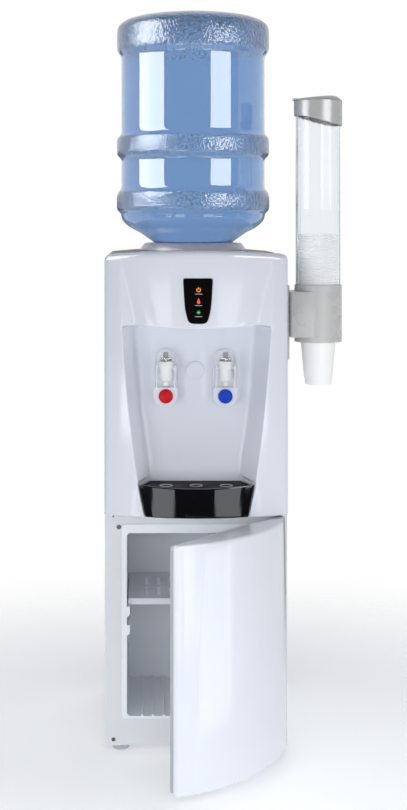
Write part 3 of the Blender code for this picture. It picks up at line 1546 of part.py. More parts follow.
def make_cup_dispenser():
    clear = material("clear_tube", (0.75, 0.82, 0.88, 1), 0.08, 0.0, 0.35)
    shell = material("dispenser_grey", (0.56, 0.56, 0.57, 1), 0.35)
    centre = (cup_axis_x, cup_axis_y, 0)
    side = half_width + seat_gap
    bead = 0.0012
    plate = add_object(
        "cup_mount_plate",
        box((side, cup_axis_y - plate_half, plate_low), (side + plate_thickness, cup_axis_y + plate_half, plate_high)),
        shell, cooler,
    )
    soften(plate, bead)

    lower_bore = cup_rim_radius + slide_gap
    socket = (tube_outer + seat_gap) / math.cos(math.pi / round_sides)
    holder = add_object(
        "cup_holder", rod(holder_radius, holder_low, holder_high, round_sides), shell, cooler, centre
    )
    arm_start = side + plate_thickness + seat_gap - cup_axis_x
    join(holder, box((arm_start, -block_half, block_low), (0, block_half, block_high)))
    mark_x = -mark_offset
    mark_z = (block_low + block_high) / 2
    boss = 0.0006
    join(holder, rod(mark_radius, -block_half - boss, -block_half + boss, 24, "Y", (mark_x, mark_z)))
    cut(holder, rod(lower_bore, holder_low - overrun, holder_high + overrun, round_sides))
    cut(holder, rod(socket, socket_z, holder_high + overrun, round_sides))

    tube_low = socket_z + seat_gap
    outline = []
    for i in range(flute_count * 2):
        a = math.tau * i / (flute_count * 2)
        r = tube_outer - (flute_depth if i % 2 else 0)
        outline.append((r * math.cos(a), r * math.sin(a)))
    tube = add_object("cup_tube", prism(outline, tube_low, tube_high), clear, cooler, centre)
    cut(tube, rod(tube_outer - tube_wall, tube_low - overrun, tube_high + overrun, flute_count * 2))

    rings = []
    for radius, on_seam in ((collar_radius, False), (collar_radius, True), (socket, True), (socket, False)):
        ring = []
        for i in range(round_sides):
            a = math.tau * i / round_sides
            x = radius * math.cos(a)
            slant = mix(collar_left_z, collar_right_z, (x / collar_radius + 1) / 2)
            ring.append((x, radius * math.sin(a), seam_z if on_seam else slant))
        rings.append(ring)
    bm = bmesh.new()
    loops = [[bm.verts.new(p) for p in ring] for ring in rings]
    for k in range(4):
        near, far = loops[k - 1], loops[k]
        for i in range(round_sides):
            bm.faces.new((near[i - 1], near[i], far[i], far[i - 1]))
    add_object("tube_collar", bm, shell, cooler, centre)

    hinge = empty("lid_pivot", (cup_axis_x - collar_radius, cup_axis_y, seam_z), cooler)
    lid_low = seam_z + seat_gap
    lid_edge = 0.0042
    lid_tab = 0.0045
    ease = 0.0032
    levels = [(collar_radius, lid_low), (collar_radius + ease / 4, lid_low + ease / 2),
              (collar_radius - ease, lid_low + lid_edge), (collar_radius * lid_flat_share, lid_low + lid_edge),
              (collar_radius * lid_top_share, lid_low + lid_edge)]
    rings = []
    for (radius, z), rise in zip(levels, lid_shares):
        ring = []
        for i in range(24):
            a = math.tau * i / 24
            x = radius * math.cos(a)
            lean = (lid_crown - lid_edge) * rise * (x / collar_radius + lid_lean_share)
            ring.append((x + collar_radius, radius * math.sin(a), z + max(lean, 0)))
        rings.append(ring)
    lid = add_object("cup_lid", loft(rings), shell, hinge)
    tab_half = 0.009
    join(lid, box((-lid_tab / 2, -tab_half, lid_low - seam_z + lid_low),
                  (lid_tab, tab_half, lid_low + lid_edge)))
    lid.location = (0, 0, -seam_z)
    for tool in bpy.data.objects:
        if tool.name.startswith("cup_lid_tool"):
            tool.location = lid.location


def make_cups():
    cup = material("cup_clear", (0.86, 0.88, 0.92, 1), 0.2, 0.0, 0.6)
    centre = (cup_axis_x, cup_axis_y, 0)
    top = cup_low + cup_height
    rim = 0.0014
    slope = (cup_rim_radius - rim - cup_base_radius) / cup_height
    pull = empty("cup_pull", centre, cooler)
    wall = cup_wall
    floor = cup_low + wall
    profile = [
        (0, cup_low), (cup_base_radius, cup_low), (cup_rim_radius - rim, top - rim), (cup_rim_radius, top - rim),
        (cup_rim_radius, top), (cup_rim_radius - rim - wall, top), (cup_base_radius - wall, floor), (0, floor),
    ]
    add_object("lowest_cup", turned(profile, 20), cup, pull)
    nest = wall + seat_gap * 2
    low = floor + seat_gap
    start = top + seat_gap
    cup_pitch = (stack_high_z - start - rim * 1.5) / (cup_count - 1)
    profile = [(0, low), (cup_base_radius - nest, low), (cup_rim_radius - rim - nest, start)]
    for i in range(cup_count):
        z = start + cup_pitch * i
        lip = min(rim, cup_pitch / 3)
        profile += [(cup_rim_radius, z), (cup_rim_radius, z + lip)]
        profile += [(cup_rim_radius - rim, z + lip * 1.5)]
        if i < cup_count - 1:
            profile += [(cup_rim_radius - rim, z + cup_pitch)]
    stack_top = stack_high_z
    depth = cup_height - rim
    profile += [(cup_rim_radius - rim - wall, stack_top), (cup_base_radius - wall, stack_top - depth),
                (0, stack_top - depth)]
    add_object("cup_stack", turned(profile, 14), cup, cooler, centre)


make_base_plate()
make_side_panel("left_side_panel", -1)
make_side_panel("right_side_panel", 1)
rear_panel = make_back_panel()
make_frame()
make_liner()
make_shelf()
make_ceiling_clip()
make_housing()
make_display()
make_blank_plug()
make_tap("hot", -1, (0.62, 0.0, 0.015, 1))
make_tap("cold", 1, (0.01, 0.06, 0.55, 1))
make_tray()
make_top_cover()
make_collar()
make_bottle()
make_water_path()
make_compressor()
make_condenser()
make_rear_controls(rear_panel)
make_door()
make_hinges()
make_cup_dispenser()
make_cups()
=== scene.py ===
"""Visual model of a bottled water cooler with an open cabinet door and a cup dispenser.

Sizes are millimetres about the centre of the cabinet's footprint: the cooler faces -Y, +Z is up.
"""
import json
import math

import bmesh
import bpy
from mathutils import Matrix, Vector

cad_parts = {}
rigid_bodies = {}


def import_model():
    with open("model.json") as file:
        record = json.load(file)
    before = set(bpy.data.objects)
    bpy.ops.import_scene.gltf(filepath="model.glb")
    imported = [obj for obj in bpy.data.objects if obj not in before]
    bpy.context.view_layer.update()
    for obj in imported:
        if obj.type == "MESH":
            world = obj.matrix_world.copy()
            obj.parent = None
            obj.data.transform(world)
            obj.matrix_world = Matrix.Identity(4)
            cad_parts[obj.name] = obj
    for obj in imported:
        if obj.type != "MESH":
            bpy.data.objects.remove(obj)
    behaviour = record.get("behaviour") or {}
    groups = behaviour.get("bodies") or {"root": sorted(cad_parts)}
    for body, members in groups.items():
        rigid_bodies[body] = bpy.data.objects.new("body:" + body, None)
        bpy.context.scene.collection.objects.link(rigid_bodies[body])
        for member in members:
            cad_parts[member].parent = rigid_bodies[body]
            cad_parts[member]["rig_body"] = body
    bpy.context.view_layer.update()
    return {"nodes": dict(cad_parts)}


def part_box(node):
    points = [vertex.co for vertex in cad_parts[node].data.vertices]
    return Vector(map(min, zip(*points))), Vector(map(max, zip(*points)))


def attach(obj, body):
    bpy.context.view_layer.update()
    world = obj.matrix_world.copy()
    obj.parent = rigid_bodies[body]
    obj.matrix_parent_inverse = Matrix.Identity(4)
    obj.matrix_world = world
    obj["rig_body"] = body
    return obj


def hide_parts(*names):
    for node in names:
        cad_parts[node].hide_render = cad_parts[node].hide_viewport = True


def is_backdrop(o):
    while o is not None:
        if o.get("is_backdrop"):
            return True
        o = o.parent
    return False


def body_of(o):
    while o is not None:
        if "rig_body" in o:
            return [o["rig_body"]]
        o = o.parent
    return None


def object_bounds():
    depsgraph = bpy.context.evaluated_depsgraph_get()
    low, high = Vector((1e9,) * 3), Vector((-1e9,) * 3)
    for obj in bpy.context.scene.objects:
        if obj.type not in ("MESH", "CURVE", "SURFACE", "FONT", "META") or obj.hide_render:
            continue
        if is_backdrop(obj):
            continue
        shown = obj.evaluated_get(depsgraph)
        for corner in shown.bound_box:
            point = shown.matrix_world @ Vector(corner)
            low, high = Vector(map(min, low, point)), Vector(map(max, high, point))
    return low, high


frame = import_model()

MM = 0.001
base_low, base_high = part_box("base_plate")
ORIGIN = Vector(((base_low.x + base_high.x) / 2, (base_low.y + base_high.y) / 2, 0))
TO_FRAME = Matrix.Translation(ORIGIN) @ Matrix.Scale(MM, 4)

# Shape of the bowed front, shared by the housing, the tray and the door
HALF = 152.0
EDGE_Y = -188.0
BOW_RADIUS = 308.8
BOW_CENTRE_Y = 80.8
CABINET_TOP = 401.3
HOUSING_TOP = 831.0
DOME = 7.0
TAP_X = 50.0
TAP_Y = -160.0
TAP_Z = 641.0
CUP_X = 213.2
CUP_Y = -85.0


def mix(a, b, share):
    return a + (b - a) * share


def ease(value, start, end):
    """Smooth step from 0 at start to 1 at end."""
    t = min(max((value - start) / (end - start), 0), 1)
    return t * t * (3 - 2 * t)


def arc_y(x, inset=0):
    return BOW_CENTRE_Y - math.sqrt((BOW_RADIUS - inset) ** 2 - x * x)


def dome_rise(x):
    return DOME * (1 - (x / HALF) ** 2)


# Materials

def look(name, colour, rough=0.3, metal=0.0, grain=(900, 0.05), tint=0.04, wear=0.1, clear=0.0,
         ior=1.46, spec=0.5, glow=None, pebbles=None, smudge=0.25):
    """A procedural finish: drifting tint, fine grain, pebbles, worn edges and an uneven gloss."""
    made = bpy.data.materials.new(name)
    made.use_nodes = True
    nodes = made.node_tree.nodes
    links = made.node_tree.links
    shader = nodes["Principled BSDF"]
    shader.inputs["Metallic"].default_value = metal
    shader.inputs["IOR"].default_value = ior
    shader.inputs["Transmission Weight"].default_value = clear
    shader.inputs["Specular IOR Level"].default_value = spec
    if glow:
        shader.inputs["Emission Color"].default_value = (*colour, 1)
        shader.inputs["Emission Strength"].default_value = glow
    place = nodes.new("ShaderNodeTexCoord")

    def noise(scale, detail=3.0):
        made_noise = nodes.new("ShaderNodeTexNoise")
        made_noise.inputs["Scale"].default_value = scale
        made_noise.inputs["Detail"].default_value = detail
        links.new(place.outputs["Object"], made_noise.inputs["Vector"])
        return made_noise.outputs["Fac"]

    def spread(source, low, high, start=0.3, end=0.7):
        scaled = nodes.new("ShaderNodeMapRange")
        scaled.inputs["From Min"].default_value = start
        scaled.inputs["From Max"].default_value = end
        scaled.inputs["To Min"].default_value = low
        scaled.inputs["To Max"].default_value = high
        links.new(source, scaled.inputs["Value"])
        return scaled.outputs["Result"]

    def blend(factor, first, second):
        mixed = nodes.new("ShaderNodeMix")
        mixed.data_type = "RGBA"
        links.new(factor, mixed.inputs["Factor"])
        for socket, value in (("A", first), ("B", second)):
            target = next(s for s in mixed.inputs if s.name == socket and s.type == "RGBA")
            if isinstance(value, bpy.types.NodeSocket):
                links.new(value, target)
            else:
                target.default_value = (*value, 1)
        return next(s for s in mixed.outputs if s.type == "RGBA")

    darker = tuple(c * (1 - tint) for c in colour)
    lighter = tuple(min(c * (1 + tint), 1) for c in colour)
    base = blend(spread(noise(7.0), 0, 1), darker, lighter)
    if wear:
        shape = nodes.new("ShaderNodeNewGeometry")
        worn = tuple(mix(c, 0.9, 0.35) if sum(colour) < 1.5 else c * 0.86 for c in colour)
        base = blend(spread(shape.outputs["Pointiness"], 0, wear, 0.52, 0.62), base, worn)
    if pebbles:
        cells = nodes.new("ShaderNodeTexVoronoi")
        cells.feature = "SMOOTH_F1"
        cells.inputs["Scale"].default_value = pebbles[0]
        cells.inputs["Smoothness"].default_value = 0.5
        links.new(place.outputs["Object"], cells.inputs["Vector"])
        deep = tuple(c * 0.55 for c in colour)
        base = blend(spread(cells.outputs["Distance"], 0, 0.9, 0.3, 0.8), base, deep)
    links.new(base, shader.inputs["Base Color"])
    links.new(spread(noise(23.0), rough * (1 - smudge), rough * (1 + smudge)), shader.inputs["Roughness"])
    height = noise(grain[0], 2.0)
    bump = nodes.new("ShaderNodeBump")
    bump.inputs["Strength"].default_value = grain[1]
    bump.inputs["Distance"].default_value = 0.0004
    links.new(height, bump.inputs["Height"])
    normal = bump.outputs["Normal"]
    if pebbles:
        second = nodes.new("ShaderNodeBump")
        second.inputs["Strength"].default_value = pebbles[1]
        second.inputs["Distance"].default_value = 0.0008
        links.new(cells.outputs["Distance"], second.inputs["Height"])
        links.new(normal, second.inputs["Normal"])
        normal = second.outputs["Normal"]
    links.new(normal, shader.inputs["Normal"])
    return made


WHITE = look("white_gloss", (0.76, 0.775, 0.83), 0.11, grain=(420, 0.03), tint=0.015, wear=0.12, spec=0.4)
STEEL_WHITE = look("painted_sheet", (0.75, 0.76, 0.78), 0.34, grain=(1300, 0.02), tint=0.02, wear=0.04,
                   smudge=0.1)
LINER = look("liner_white", (0.87, 0.89, 0.93), 0.38, grain=(800, 0.10), tint=0.03)
COLLAR = look("collar_grey", (0.80, 0.75, 0.80), 0.3, grain=(900, 0.08))
BLACK = look("gloss_black", (0.004, 0.004, 0.005), 0.05, grain=(600, 0.01), tint=0.3, wear=0.02, spec=0.5)
MATT_BLACK = look("matt_black", (0.017, 0.017, 0.019), 0.42, grain=(900, 0.1), tint=0.2, wear=0.05, spec=0.02)
SCREEN = look("screen_black", (0.003, 0.003, 0.003), 0.06, grain=(500, 0.01), tint=0.3, wear=0.0, spec=0.4)
TAP_WHITE = look("tap_white", (0.80, 0.82, 0.81), 0.24, grain=(1500, 0.05), tint=0.02)
CHROME = look("chrome", (0.60, 0.59, 0.58), 0.22, metal=1.0, grain=(2000, 0.03), tint=0.05)
STEM = look("grey_stem", (0.30, 0.31, 0.31), 0.35, grain=(1800, 0.08), tint=0.1)
HOT = look("hot_red", (0.62, 0.001, 0.006), 0.3, grain=(1800, 0.06), tint=0.08, wear=0.0, spec=0.15)
COLD = look("cold_blue", (0.001, 0.05, 0.52), 0.3, grain=(1800, 0.06), tint=0.08, wear=0.0, spec=0.15)
BOTTLE = look("bottle_clear", (0.41, 0.55, 0.75), 0.03, clear=1.0, ior=1.5, grain=(60, 0.03), tint=0.01,
              wear=0.0)
PEBBLED = look("bottle_pebbled", (0.50, 0.63, 0.82), 0.07, clear=1.0, ior=1.5, grain=(900, 0.1), tint=0.02,
               wear=0.0, pebbles=(285, 1.0))
CAP = look("cap_blue", (0.06, 0.18, 0.50), 0.35)
TANK = look("tank_steel", (0.55, 0.56, 0.57), 0.25, metal=1.0, grain=(300, 0.1), tint=0.08)
SILICONE = look("hose_silicone", (0.62, 0.64, 0.66), 0.45, grain=(1500, 0.1))
MOTOR = look("compressor_black", (0.015, 0.015, 0.016), 0.35, grain=(700, 0.3), tint=0.3, wear=0.3)
DARK = look("dark_enamel", (0.025, 0.025, 0.028), 0.35, grain=(900, 0.15), tint=0.2, wear=0.2)
HOT_ROCKER = look("rocker_red", (0.45, 0.01, 0.01), 0.3)
COLD_ROCKER = look("rocker_green", (0.01, 0.22, 0.05), 0.3)
SEAL = look("seal_grey", (0.42, 0.43, 0.46), 0.6, grain=(1600, 0.2))
BRACKET = look("bracket_steel", (0.50, 0.50, 0.52), 0.3, metal=1.0, grain=(700, 0.15), tint=0.1, wear=0.3)
# Escutcheon plates: the housing's white painted lighter, a painted highlight so the concave plates read
# bright in the recess's shade.
TAP_PLATE_PAINTED_LIGHT = look("tap_plate_painted_light", (0.86, 0.875, 0.91), 0.14, grain=(420, 0.03), tint=0.01, spec=0.4)
# Rosette rings: light grey, a painted highlight for the glint on the black grille's raised rims.
ROSETTE_PAINTED_HIGHLIGHT = look("rosette_painted_highlight", (0.60, 0.60, 0.62), 0.22, grain=(900, 0.1), tint=0.1)
RUBBER = look("foot_rubber", (0.50, 0.50, 0.53), 0.6, grain=(900, 0.3), tint=0.06)
BROWN = look("brown_clip", (0.16, 0.06, 0.04), 0.45)
BOARD = look("circuit_board", (0.015, 0.12, 0.045), 0.4, grain=(400, 0.4), tint=0.2)
HOLDER = look("dispenser_grey", (0.58, 0.57, 0.55), 0.3, grain=(1100, 0.03), tint=0.02)
TUBE = look("tube_clear", (0.92, 0.94, 0.955), 0.04, clear=1.0, ior=1.2, grain=(120, 0.02), tint=0.01,
            wear=0.0)
# The cups glow a little: painted light standing in for the lamp light the clear tube keeps from them.
CUP = look("cup_white_painted_glow", (0.94, 0.93, 0.92), 0.22, ior=1.3, grain=(700, 0.05), tint=0.02, wear=0.0, glow=0.08)

SLOT_LOOKS = {
    "painted_steel": STEEL_WHITE, "white_plastic": WHITE, "liner_plastic": LINER, "collar_plastic": COLLAR,
    "display_black": SCREEN, "tray_black": BLACK, "circuit_board": BOARD, "tap_plastic": TAP_WHITE,
    "chrome": CHROME, "grey_stem": STEM, "hot_button": HOT, "cold_button": COLD, "bottle_plastic": BOTTLE,
    "cap_blue": CAP, "tank_steel": TANK, "hose_silicone": SILICONE, "compressor_black": MOTOR,
    "dark_plastic": DARK, "hot_rocker": HOT_ROCKER, "cold_rocker": COLD_ROCKER, "gasket_grey": SEAL,
    "hinge_steel": BRACKET, "foot_rubber": RUBBER, "brown_clip": BROWN, "dispenser_grey": HOLDER,
    "clear_tube": TUBE, "cup_clear": CUP,
}
for node in frame["nodes"].values():
    for place in node.material_slots:
        place.material = SLOT_LOOKS[place.material.name.split(".")[0]]


# Shapes

# Which of an outline's two coordinates and its height lie along X, Y and Z, for each axis
ORDER = {"Z": (0, 1, 2), "Y": (0, 2, 1), "X": (2, 0, 1)}


def add_object(name, data):
    made = bpy.data.objects.new(name, data)
    bpy.context.scene.collection.objects.link(made)
    return made


def as_object(name, bm):
    mesh = bpy.data.meshes.new(name)
    bm.to_mesh(mesh)
    bm.free()
    return add_object(name, mesh)


def solid(name, bm):
    """An object from a bmesh in millimetres, its faces turned outwards."""
    bm.transform(TO_FRAME)
    bm.normal_update()
    bmesh.ops.recalc_face_normals(bm, faces=bm.faces)
    return as_object(name, bm)


def round_edges(piece, width, segments, angle, harden):
    rounding = piece.modifiers.new("rounding", "BEVEL")
    rounding.width = width * MM
    rounding.segments = segments
    rounding.limit_method = "ANGLE"
    rounding.angle_limit = math.radians(angle)
    rounding.harden_normals = harden


def publish(name, bm, body, finish, stands_for=(), bevel=0, segments=2, angle=32, turn=None):
    """Makes a piece from a bmesh in millimetres and lets it ride on its body."""
    if turn is not None:
        bm.transform(turn)
    piece = solid(name, bm)
    for each in finish if isinstance(finish, list) else [finish]:
        piece.data.materials.append(each)
    piece.data.shade_smooth()
    piece.data.set_sharp_from_angle(angle=math.radians(angle))
    if bevel:
        round_edges(piece, bevel, segments, 40, True)
    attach(piece, body)
    if stands_for:
        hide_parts(*([stands_for] if isinstance(stands_for, str) else stands_for))
    return piece


def carve(piece, bm, name="cutter"):
    """Cuts another shape, in millimetres, out of a piece."""
    tool = solid(f"{piece.name}_{name}", bm)
    tool.hide_render = True
    tool.display_type = "WIRE"
    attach(tool, body_of(piece)[0])
    step = piece.modifiers.new("cut", "BOOLEAN")
    step.operation = "DIFFERENCE"
    step.solver = "EXACT"
    step.object = tool


def grid(rows, closed=False, ends=False):
    """Quads between rows of equally many points, each row a closed ring if asked, its ends filled."""
    bm = bmesh.new()
    lines = [[bm.verts.new(p) for p in row] for row in rows]
    count = len(lines[0])
    for a, b in zip(lines, lines[1:]):
        for i in range(0 if closed else 1, count):
            bm.faces.new((a[i - 1], a[i], b[i], b[i - 1]))
    if ends:
        bm.faces.new(lines[0])
        bm.faces.new(lines[-1][::-1])
    return bm


def merged(bm, distance=1e-4):
    bmesh.ops.remove_doubles(bm, verts=bm.verts, dist=distance)
    return bm


def turned(profile, sides=72, axis="Z", at=(0, 0, 0), ring=False):
    """A (radius, height) profile spun about an axis; a ring's profile is closed."""
    profile = list(profile) + ([profile[0]] if ring else [])
    rows = []
    for r, h in profile:
        row = []
        for i in range(sides):
            a = math.tau * i / sides
            p = (r * math.cos(a), r * math.sin(a), h)
            row.append([p[k] + shift for k, shift in zip(ORDER[axis], at)])
        rows.append(row)
    return merged(grid(rows, closed=True))


def rod(radius, low, high, sides=20, axis="Z", at=(0, 0, 0)):
    return turned([(0, low), (radius, low), (radius, high), (0, high)], sides, axis, at)


def quarter(steps):
    """The angles of a quarter turn."""
    return [math.pi / 2 * i / steps for i in range(steps + 1)]


def level(z):
    """One value wherever on the row."""
    return lambda x: z


def rounded(profile, radius, steps=3, closed=False):
    """A polyline with each inner corner turned into a curve of about the given radius."""
    made = []
    count = len(profile)
    for i, p in enumerate(profile):
        if not closed and i in (0, count - 1):
            made.append(tuple(p))
            continue
        before = Vector(profile[i - 1])
        here = Vector(p)
        after = Vector(profile[(i + 1) % count])
        r = radius[i] if isinstance(radius, (list, tuple)) else radius
        back = before - here
        on = after - here
        start = here + back.normalized() * min(r, back.length * 0.45)
        end = here + on.normalized() * min(r, on.length * 0.45)
        for k in range(steps + 1):
            t = k / steps
            made.append(tuple((1 - t) ** 2 * start + 2 * t * (1 - t) * here + t * t * end))
    return made


def box(low, high):
    bm = bmesh.new()
    bmesh.ops.create_cube(bm, size=1)
    for v in bm.verts:
        for k in range(3):
            v.co[k] = low[k] if v.co[k] < 0 else high[k]
    return bm


def prism(outline, low, high, axis="Z"):
    """An outline across the axis, extruded along it."""
    rows = [[[(*p, height)[k] for k in ORDER[axis]] for p in outline] for height in (low, high)]
    return grid(rows, closed=True, ends=True)


def rounded_rect(x0, y0, x1, y1, radius, steps=5):
    return rounded([(x1, y0), (x1, y1), (x0, y1), (x0, y0)], radius, steps, True)


def stadium(half, low, high, steps=16):
    points = []
    for centre, start in ((high - half, 0), (low + half, 180)):
        for i in range(steps + 1):
            a = math.radians(start + 180 * i / steps)
            points.append((half * math.cos(a), centre + half * math.sin(a)))
    return points


def join(*shapes):
    whole = bmesh.new()
    for shape in shapes:
        part = bpy.data.meshes.new("part")
        shape.to_mesh(part)
        shape.free()
        whole.from_mesh(part)
        bpy.data.meshes.remove(part)
    return whole


# Upper housing: one moulded surface, row by row from the top flange to the floor of the tray pocket

LEDGE_Z = 715.0
LEDGE_SAG = 5.0
LIP = 4.0
WALL_Y = -125.0
STEP_Z = 577.0
FOOT_Z = 458.0
TRAY_TOP = 449.0
TRAY_BACK = -134.0
POCKET_FLOOR = 404.9
HOUSING_BACK = -122.0
RECESS_LOW = 453.0
RECESS_HIGH = 717.0
BROW_DEPTH = 12.0
BROW_OUTER = 126.8
BROW_INNER = 124.6
BROW_DRAFT = 1.5
ROLL = 9.0
COVE = 9.0
RECESS_DROP = 14.0
WALL_SET_BACK = 4.0
POCKET_GAP = 0.9


def tray_half(z):
    return mix(84.8, 96.4, (z - CABINET_TOP) / (RECESS_LOW - CABINET_TOP))


def tray_back_half(front_half):
    taper = (95.5 - 80.0) / (TRAY_BACK - arc_y(95.5))
    return front_half - taper * (TRAY_BACK - arc_y(front_half))


def recess_outer(z):
    """Half width of the recess at its mouth, bowed outwards."""
    s = (z - RECESS_LOW) / (RECESS_HIGH - RECESS_LOW)
    return mix(96.0, 123.4, s) + 12 * s * (1 - s)


def recess_inner(z):
    """Half width at the back wall: steep beside the taps, then drawn in below the step."""
    below = STEP_Z - z
    return 93.5 - 0.065 * below - 0.04 * (below + math.hypot(below, 9.0))


def brow_y(x, inner, depth):
    return arc_y(x) + depth * (0.25 + 0.85 * min(abs(x) / inner, 1) ** 6)


def wall_y(x, z):
    """The recess's back wall: soft vertical hollows beside the taps, over a proud lower panel."""
    hollow = sum(math.exp(-((abs(x) - at) / width) ** 2) for at, width in ((23.7, 13.0), (80.0, 14.0)))
    depth = min(hollow, 1) * ease(z, STEP_Z - 7, STEP_Z + 16) * (1 - ease(z, 650, 702))
    return WALL_Y - WALL_SET_BACK + 2.2 * depth


def housing_row(z_side, outer, inner, wall, z_wall, inset=0.0, crease=None, tuck=0.0, round_outer=2.5,
                round_inner=6.0, lift=0.0):
    """Right half of one row; wall(x) is the y of what lies between the inner corners, lifted at them."""
    half = HALF - inset
    corner = max(9.0 - inset, 2.0)
    end = half - corner
    crease = crease or outer + 3.0
    path = [(half, HOUSING_BACK), (half, mix(HOUSING_BACK, EDGE_Y, 0.5)), (half, arc_y(half, inset))]
    path += [(mix(end, crease, i / 8), arc_y(mix(end, crease, i / 8), inset)) for i in range(9)]
    path += [(outer, arc_y(outer, inset) + tuck), (inner, wall(inner) - lift)]
    radii = [0, 0, corner] + [0.01] * 9 + [round_outer, round_inner]
    shares = [0.9 - 0.9 * i / 30 for i in range(31)]
    path += [(inner * s, wall(inner * s)) for s in shares]
    radii += [0.01] * 31
    drops = [0.0] * 12 + [0.0, 1.0] + [1.0] * 31
    made = []
    for i, p in enumerate(path):
        if radii[i] < 0.1:
            made.append((p[0], p[1], drops[i]))
            continue
        before, here, after = Vector(path[i - 1]), Vector(p), Vector(path[i + 1])
        back, on = before - here, after - here
        start = here + back.normalized() * min(radii[i], back.length * 0.7)
        stop = here + on.normalized() * min(radii[i], on.length * 0.7)
        share_in = (start - here).length / max(back.length, 1e-6)
        share_out = (stop - here).length / max(on.length, 1e-6)
        d0 = mix(drops[i], drops[i - 1], share_in)
        d1 = mix(drops[i], drops[i + 1], share_out)
        for k in range(6):
            t = k / 5
            q = (1 - t) ** 2 * start + 2 * t * (1 - t) * here + t * t * stop
            made.append((q.x, q.y, (1 - t) ** 2 * d0 + 2 * t * (1 - t) * drops[i] + t * t * d1))
    return [(x, y, mix(z_side(x), z_wall(x), drop)) for x, y, drop in made]


def housing_rows():
    rows = []
    tops = [(22.0, 0.0), (14.0, 0.0)]
    tops += [(ROLL * (1 - math.sin(a)), ROLL * (1 - math.cos(a))) for a in quarter(6)]
    for inset, drop in tops:
        def top(x, drop=drop):
            return HOUSING_TOP + dome_rise(x) - drop
        rows.append(housing_row(top, BROW_OUTER, BROW_INNER, lambda x, inset=inset: arc_y(x, inset), top,
                                inset, round_outer=1.0, round_inner=1.0))
    steps = 24
    for k in range(1, steps + 1):
        share = k / steps
        flat = mix(HOUSING_TOP - ROLL, LEDGE_Z + LIP, share)
        inner = mix(BROW_INNER, recess_inner(LEDGE_Z) - BROW_DRAFT, share)

        def side(x, share=share, flat=flat):
            return flat + dome_rise(x) * (1 - share) ** 2

        def front(x, side=side, share=share, inner=inner):
            return side(x) - LEDGE_SAG * share * max(1 - (x / inner) ** 2, 0)
        rows.append(housing_row(side, mix(BROW_OUTER, recess_outer(LEDGE_Z), share), inner,
                                lambda x, inner=inner, share=share: brow_y(x, inner, BROW_DEPTH * share),
                                front, round_inner=1.0 + 2.5 * share))
    outer, inner = recess_outer(LEDGE_Z), recess_inner(LEDGE_Z) - BROW_DRAFT
    turns = [(LIP * math.sin(a), ("lip", LIP * (1 - math.cos(a)))) for a in quarter(5)[1:]]
    turns += [(LIP, ("under", i / 6)) for i in range(1, 6)]
    turns += [(LIP + COVE * (1 - math.cos(a)), ("cove", COVE * (1 - math.sin(a)))) for a in quarter(5)]
    for k, (drop, (kind, amount)) in enumerate(turns):
        flat = LEDGE_Z + LIP - RECESS_DROP * (k + 1) / len(turns)

        def depth(x, kind=kind, amount=amount):
            lip = brow_y(x, inner, BROW_DEPTH)
            if kind == "lip":
                return lip + amount
            if kind == "under":
                return mix(lip + LIP, WALL_Y - WALL_SET_BACK - COVE, amount)
            return WALL_Y - WALL_SET_BACK - amount

        def low(x, drop=drop):
            return LEDGE_Z + LIP - drop - LEDGE_SAG * max(1 - (x / inner) ** 2, 0)
        rows.append(housing_row(level(flat), outer, inner, depth, low,
                                round_inner=3.5 if kind == "lip" else 6.0))
    start = LEDGE_Z - RECESS_DROP
    steps = 56
    for k in range(steps + 1):
        z = mix(start, FOOT_Z, k / steps)
        foot = ease(z, FOOT_Z + 26, FOOT_Z)

        def low(x, z=z, k=k):
            fade = max(1 - k / 6, 0)
            return z - fade * (LEDGE_SAG * max(1 - (x / 99.0) ** 2, 0) - 4) * 0.6
        above = ease(z, STEP_Z - 5, STEP_Z + 5)
        back_half = recess_inner(z) - BROW_DRAFT * ease(z, 690, LEDGE_Z)
        rows.append(housing_row(level(z), recess_outer(z), back_half,
                                lambda x, z=z, foot=foot: wall_y(x, z) - 3.5 * foot, low,
                                round_inner=mix(4.0, 7.0, above), lift=2.0 * (1 - above) * (1 - foot)))
    for z in (456.0, 454.0, 451.5, 447.5):
        share = ease(z, FOOT_Z, 454)
        front = tray_half(z) + POCKET_GAP
        rows.append(housing_row(level(z), mix(recess_outer(FOOT_Z), front, share),
                                mix(recess_inner(FOOT_Z), tray_back_half(front), share),
                                level(mix(-132.5, TRAY_BACK, share)), level(z),
                                crease=101.2, round_inner=mix(6.0, 1.0, share)))
    for z in (445.0, 430.0, 415.0, POCKET_FLOOR + 1, POCKET_FLOOR):
        front = tray_half(z) + POCKET_GAP
        crease = mix(101.0, 106.0, (TRAY_TOP - z) / (TRAY_TOP - CABINET_TOP))
        rows.append(housing_row(level(z), front, tray_back_half(front), level(TRAY_BACK), level(z),
                                crease=crease, tuck=5.0 * ease(z, TRAY_TOP, 430), round_inner=1.0))
    for z, reach in ((403.5, 0.5), (CABINET_TOP, 0.97)):
        front = tray_half(z) + POCKET_GAP
        rows.append(housing_row(level(z), front, tray_back_half(front),
                                lambda x, reach=reach: mix(TRAY_BACK, arc_y(x) + 5.1, reach),
                                level(POCKET_FLOOR), crease=mix(105.8, 106.0, reach), tuck=5.0,
                                round_inner=1.0))
    return rows


def mirrored(row):
    return [(-x, y, z) for x, y, z in row[:-1]] + row[::-1]


housing = publish("moulded_housing", grid([mirrored(row) for row in housing_rows()]), "cabinet", WHITE,
                  "upper_housing", angle=50)
shell = housing.modifiers.new("shell", "SOLIDIFY")
shell.thickness = 2.4 * MM
shell.offset = -1
shell.use_even_offset = True


# Display with its three lamps, generic marks only

DISPLAY_TOP = 793.0
DISPLAY_X = 1.6
DISPLAY_LOW = 719.0
LEAN = BROW_DEPTH * 0.25 / (HOUSING_TOP - ROLL - LEDGE_Z)


